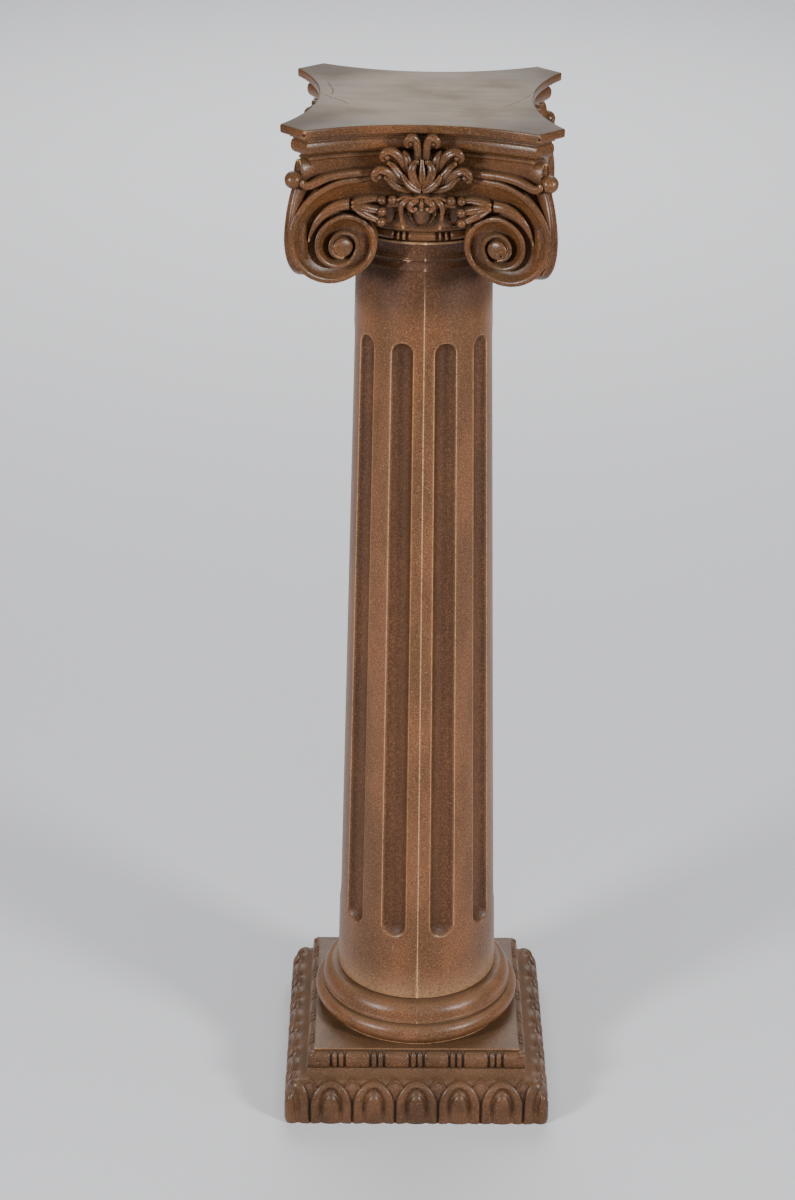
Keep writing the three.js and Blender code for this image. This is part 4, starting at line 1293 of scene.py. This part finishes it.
def washed_resin(name, wash, streak, stain, worn):
    top = new_material(name)
    place = add(top, "ShaderNodeTexCoord").outputs["Object"]
    drawn = add(top, "ShaderNodeMapping", {"Vector": place, "Scale": STROKES_PER_METRE})
    flat = add(top, "ShaderNodeVectorMath", {0: place, 1: (1, 1, 0)}, operation="MULTIPLY")
    from_axis = add(top, "ShaderNodeVectorMath", {0: flat}, operation="LENGTH").outputs["Value"]
    pattern = {"Vector": drawn, "Scale": 1.0, "Detail": 5.0, "Roughness": 0.62}
    strokes = add(top, "ShaderNodeTexNoise", pattern)
    cloud = add(top, "ShaderNodeTexNoise", {"Vector": place, "Scale": 1 / (WASH_CLOUD * MM), "Detail": 3.0})
    grain = add(top, "ShaderNodeTexNoise", {"Vector": place, "Scale": 1 / (GRAIN * MM), "Detail": 1.0})
    edge = add(top, "ShaderNodeAttribute", attribute_name="edge").outputs["Fac"]

    colour = linear(wash)
    for over, limits in (
        (streak, {0: strokes, 1: 0.35, 2: 0.68}),
        (stain, {0: from_axis, 1: BROWN_FROM * MM, 2: BROWN_TO * MM, 4: 0.8}),
        (stain, {0: cloud, 1: 0.52, 2: 0.8, 4: 0.55}),
        (stain, {0: grain, 1: 0.55, 2: 0.75, 4: 0.25}),
        (worn, {0: edge, 1: 0.3, 2: 0.6, 4: 0.5}),
    ):
        share = add(top, "ShaderNodeMapRange", limits, **SMOOTH)
        colour = add(top, "ShaderNodeMix", {0: share, 6: colour, 7: linear(over)}, data_type="RGBA")

    dull = add(top, "ShaderNodeMapRange", {0: cloud, 1: 0.3, 2: 0.7, 3: 0.58, 4: 0.7}, **SMOOTH)
    relief = add(top, "ShaderNodeBump", {"Height": strokes, "Strength": 0.2, "Distance": 0.3 * MM})
    surface = {"Base Color": colour, "Roughness": dull, "Normal": relief}
    surface |= {"IOR": RESIN_IOR, "Specular IOR Level": 0.25}
    shader = add(top, "ShaderNodeBsdfPrincipled", surface)
    add(top, "ShaderNodeOutputMaterial", {"Surface": shader})
    return top


top_wash = washed_resin("washed resin top", "#7f6e57", "#6f5f49", "#412d1a", "#b39a7e")

# %% [markdown]
# The small holes are air bubbles that opened when the casting was cleaned. They filled with stain and dirt,
# which is rough and nearly black, with a fine unevenness.

# %% Dirt in the small holes
DIRT_GRAIN = 0.5

hole_dirt = new_material("stain and dirt in air bubbles")
place = add(hole_dirt, "ShaderNodeTexCoord").outputs["Object"]
grain = add(hole_dirt, "ShaderNodeTexNoise", {"Vector": place, "Scale": 1 / (DIRT_GRAIN * MM), "Detail": 1.0})
links = {0: grain, 6: linear("#120b06"), 7: linear("#24170d")}
colour = add(hole_dirt, "ShaderNodeMix", links, data_type="RGBA")
surface = {"Base Color": colour, "Roughness": 0.8, "IOR": RESIN_IOR}
shader = add(hole_dirt, "ShaderNodeBsdfPrincipled", surface)
add(hole_dirt, "ShaderNodeOutputMaterial", {"Surface": shader})

# %% [markdown]
# Every casting gets its resin, rides on the one body of the column and stands for the plain solid of the
# same part. Faces meet smoothly except where they bend sharply. On the capital, the flat top gets its wash,
# and the faces inside the small holes get their dirt.

# %% Finish the castings
SHARP = 38  # degrees
IN_HOLE = 1.03  # a point belongs to a hole within this many times its radius

for piece, node, resin in (
    (plinth, "plinth", plinth_resin),
    (shaft, "shaft", shaft_resin),
    (capital, "capital", capital_resin),
):
    piece.data.materials.clear()
    piece.data.materials.append(resin)
    piece.data.shade_smooth()
    piece.data.set_sharp_from_angle(angle=math.radians(SHARP))
    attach(piece, "root")
    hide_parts(node)

capital.data.materials.append(top_wash)
capital.data.materials.append(hole_dirt)
places = np.array([vertex.co for vertex in capital.data.vertices]) / MM
in_hole = np.zeros(len(places), bool)
for *middle, radius in holes:
    in_hole |= np.linalg.norm(places - turned(middle, CAPITAL_TURN), axis=1) < IN_HOLE * radius
for face in capital.data.polygons:
    if face.center.z > (TOTAL_HEIGHT - 0.3) * MM:
        face.material_index = 1
    elif all(in_hole[vertex] for vertex in face.vertices):
        face.material_index = 2
print("dark faces in the small holes:", sum(face.material_index == 2 for face in capital.data.polygons))

# %% [markdown]
# ## Floor and light
# The column stands on pale seamless paper. Two small soft lamps stand to the left and the right in front of
# it, somewhat higher than the capital. They give the pair of bright spots on each round moulding and the soft
# shadows on both sides. A wide weak lamp fills the front, another hangs overhead, and a strong one lights the
# paper behind the column, which gets darker away from it by itself.

# %% Floor and lamps
FLOOR_HALF = 14000.0
FLOOR_THICK = 2.0
LOOK_AT = (0.0, 0.0, 0.55)
PAPER_BEHIND = (0.0, 3.4, 0.0)

floor_rings = [square_ring(FLOOR_HALF, height, 10, 2) for height in (-FLOOR_THICK, 0)]
floor = gathered("floor", [skin(floor_rings)])
paper = new_material("seamless paper")
shader = add(paper, "ShaderNodeBsdfPrincipled", {"Base Color": linear("#babbbe"), "Roughness": 0.9})
add(paper, "ShaderNodeOutputMaterial", {"Surface": shader})
floor.data.materials.append(paper)


def lamp(name, place, size, power, target=LOOK_AT):
    light = bpy.data.lights.new(name, "AREA")
    light.shape, light.size, light.energy = "SQUARE", size, power
    made = bpy.data.objects.new(name, light)
    made.location = place
    made.rotation_euler = (Vector(target) - Vector(place)).to_track_quat("-Z", "Y").to_euler()
    bpy.context.scene.collection.objects.link(made)


lamp("left_softbox", (-1.8, -1.5, 1.4), 0.42, 74)
lamp("right_softbox", (1.8, -1.4, 1.4), 0.42, 74)
lamp("front_fill", (0.3, -3.3, 1.5), 1.6, 22)
lamp("overhead", (0.0, -0.2, 3.4), 2.0, 6)
lamp("paper_lamp", (0.0, 3.6, 3.0), 3.0, 245, PAPER_BEHIND)

world = bpy.data.worlds.new("studio")
world.use_nodes = True
background = world.node_tree.nodes["Background"]
background.inputs["Color"].default_value = linear("#e8e9ec")
background.inputs["Strength"].default_value = 0.26
bpy.context.scene.world = world
print("lamps:", len(bpy.data.lights))
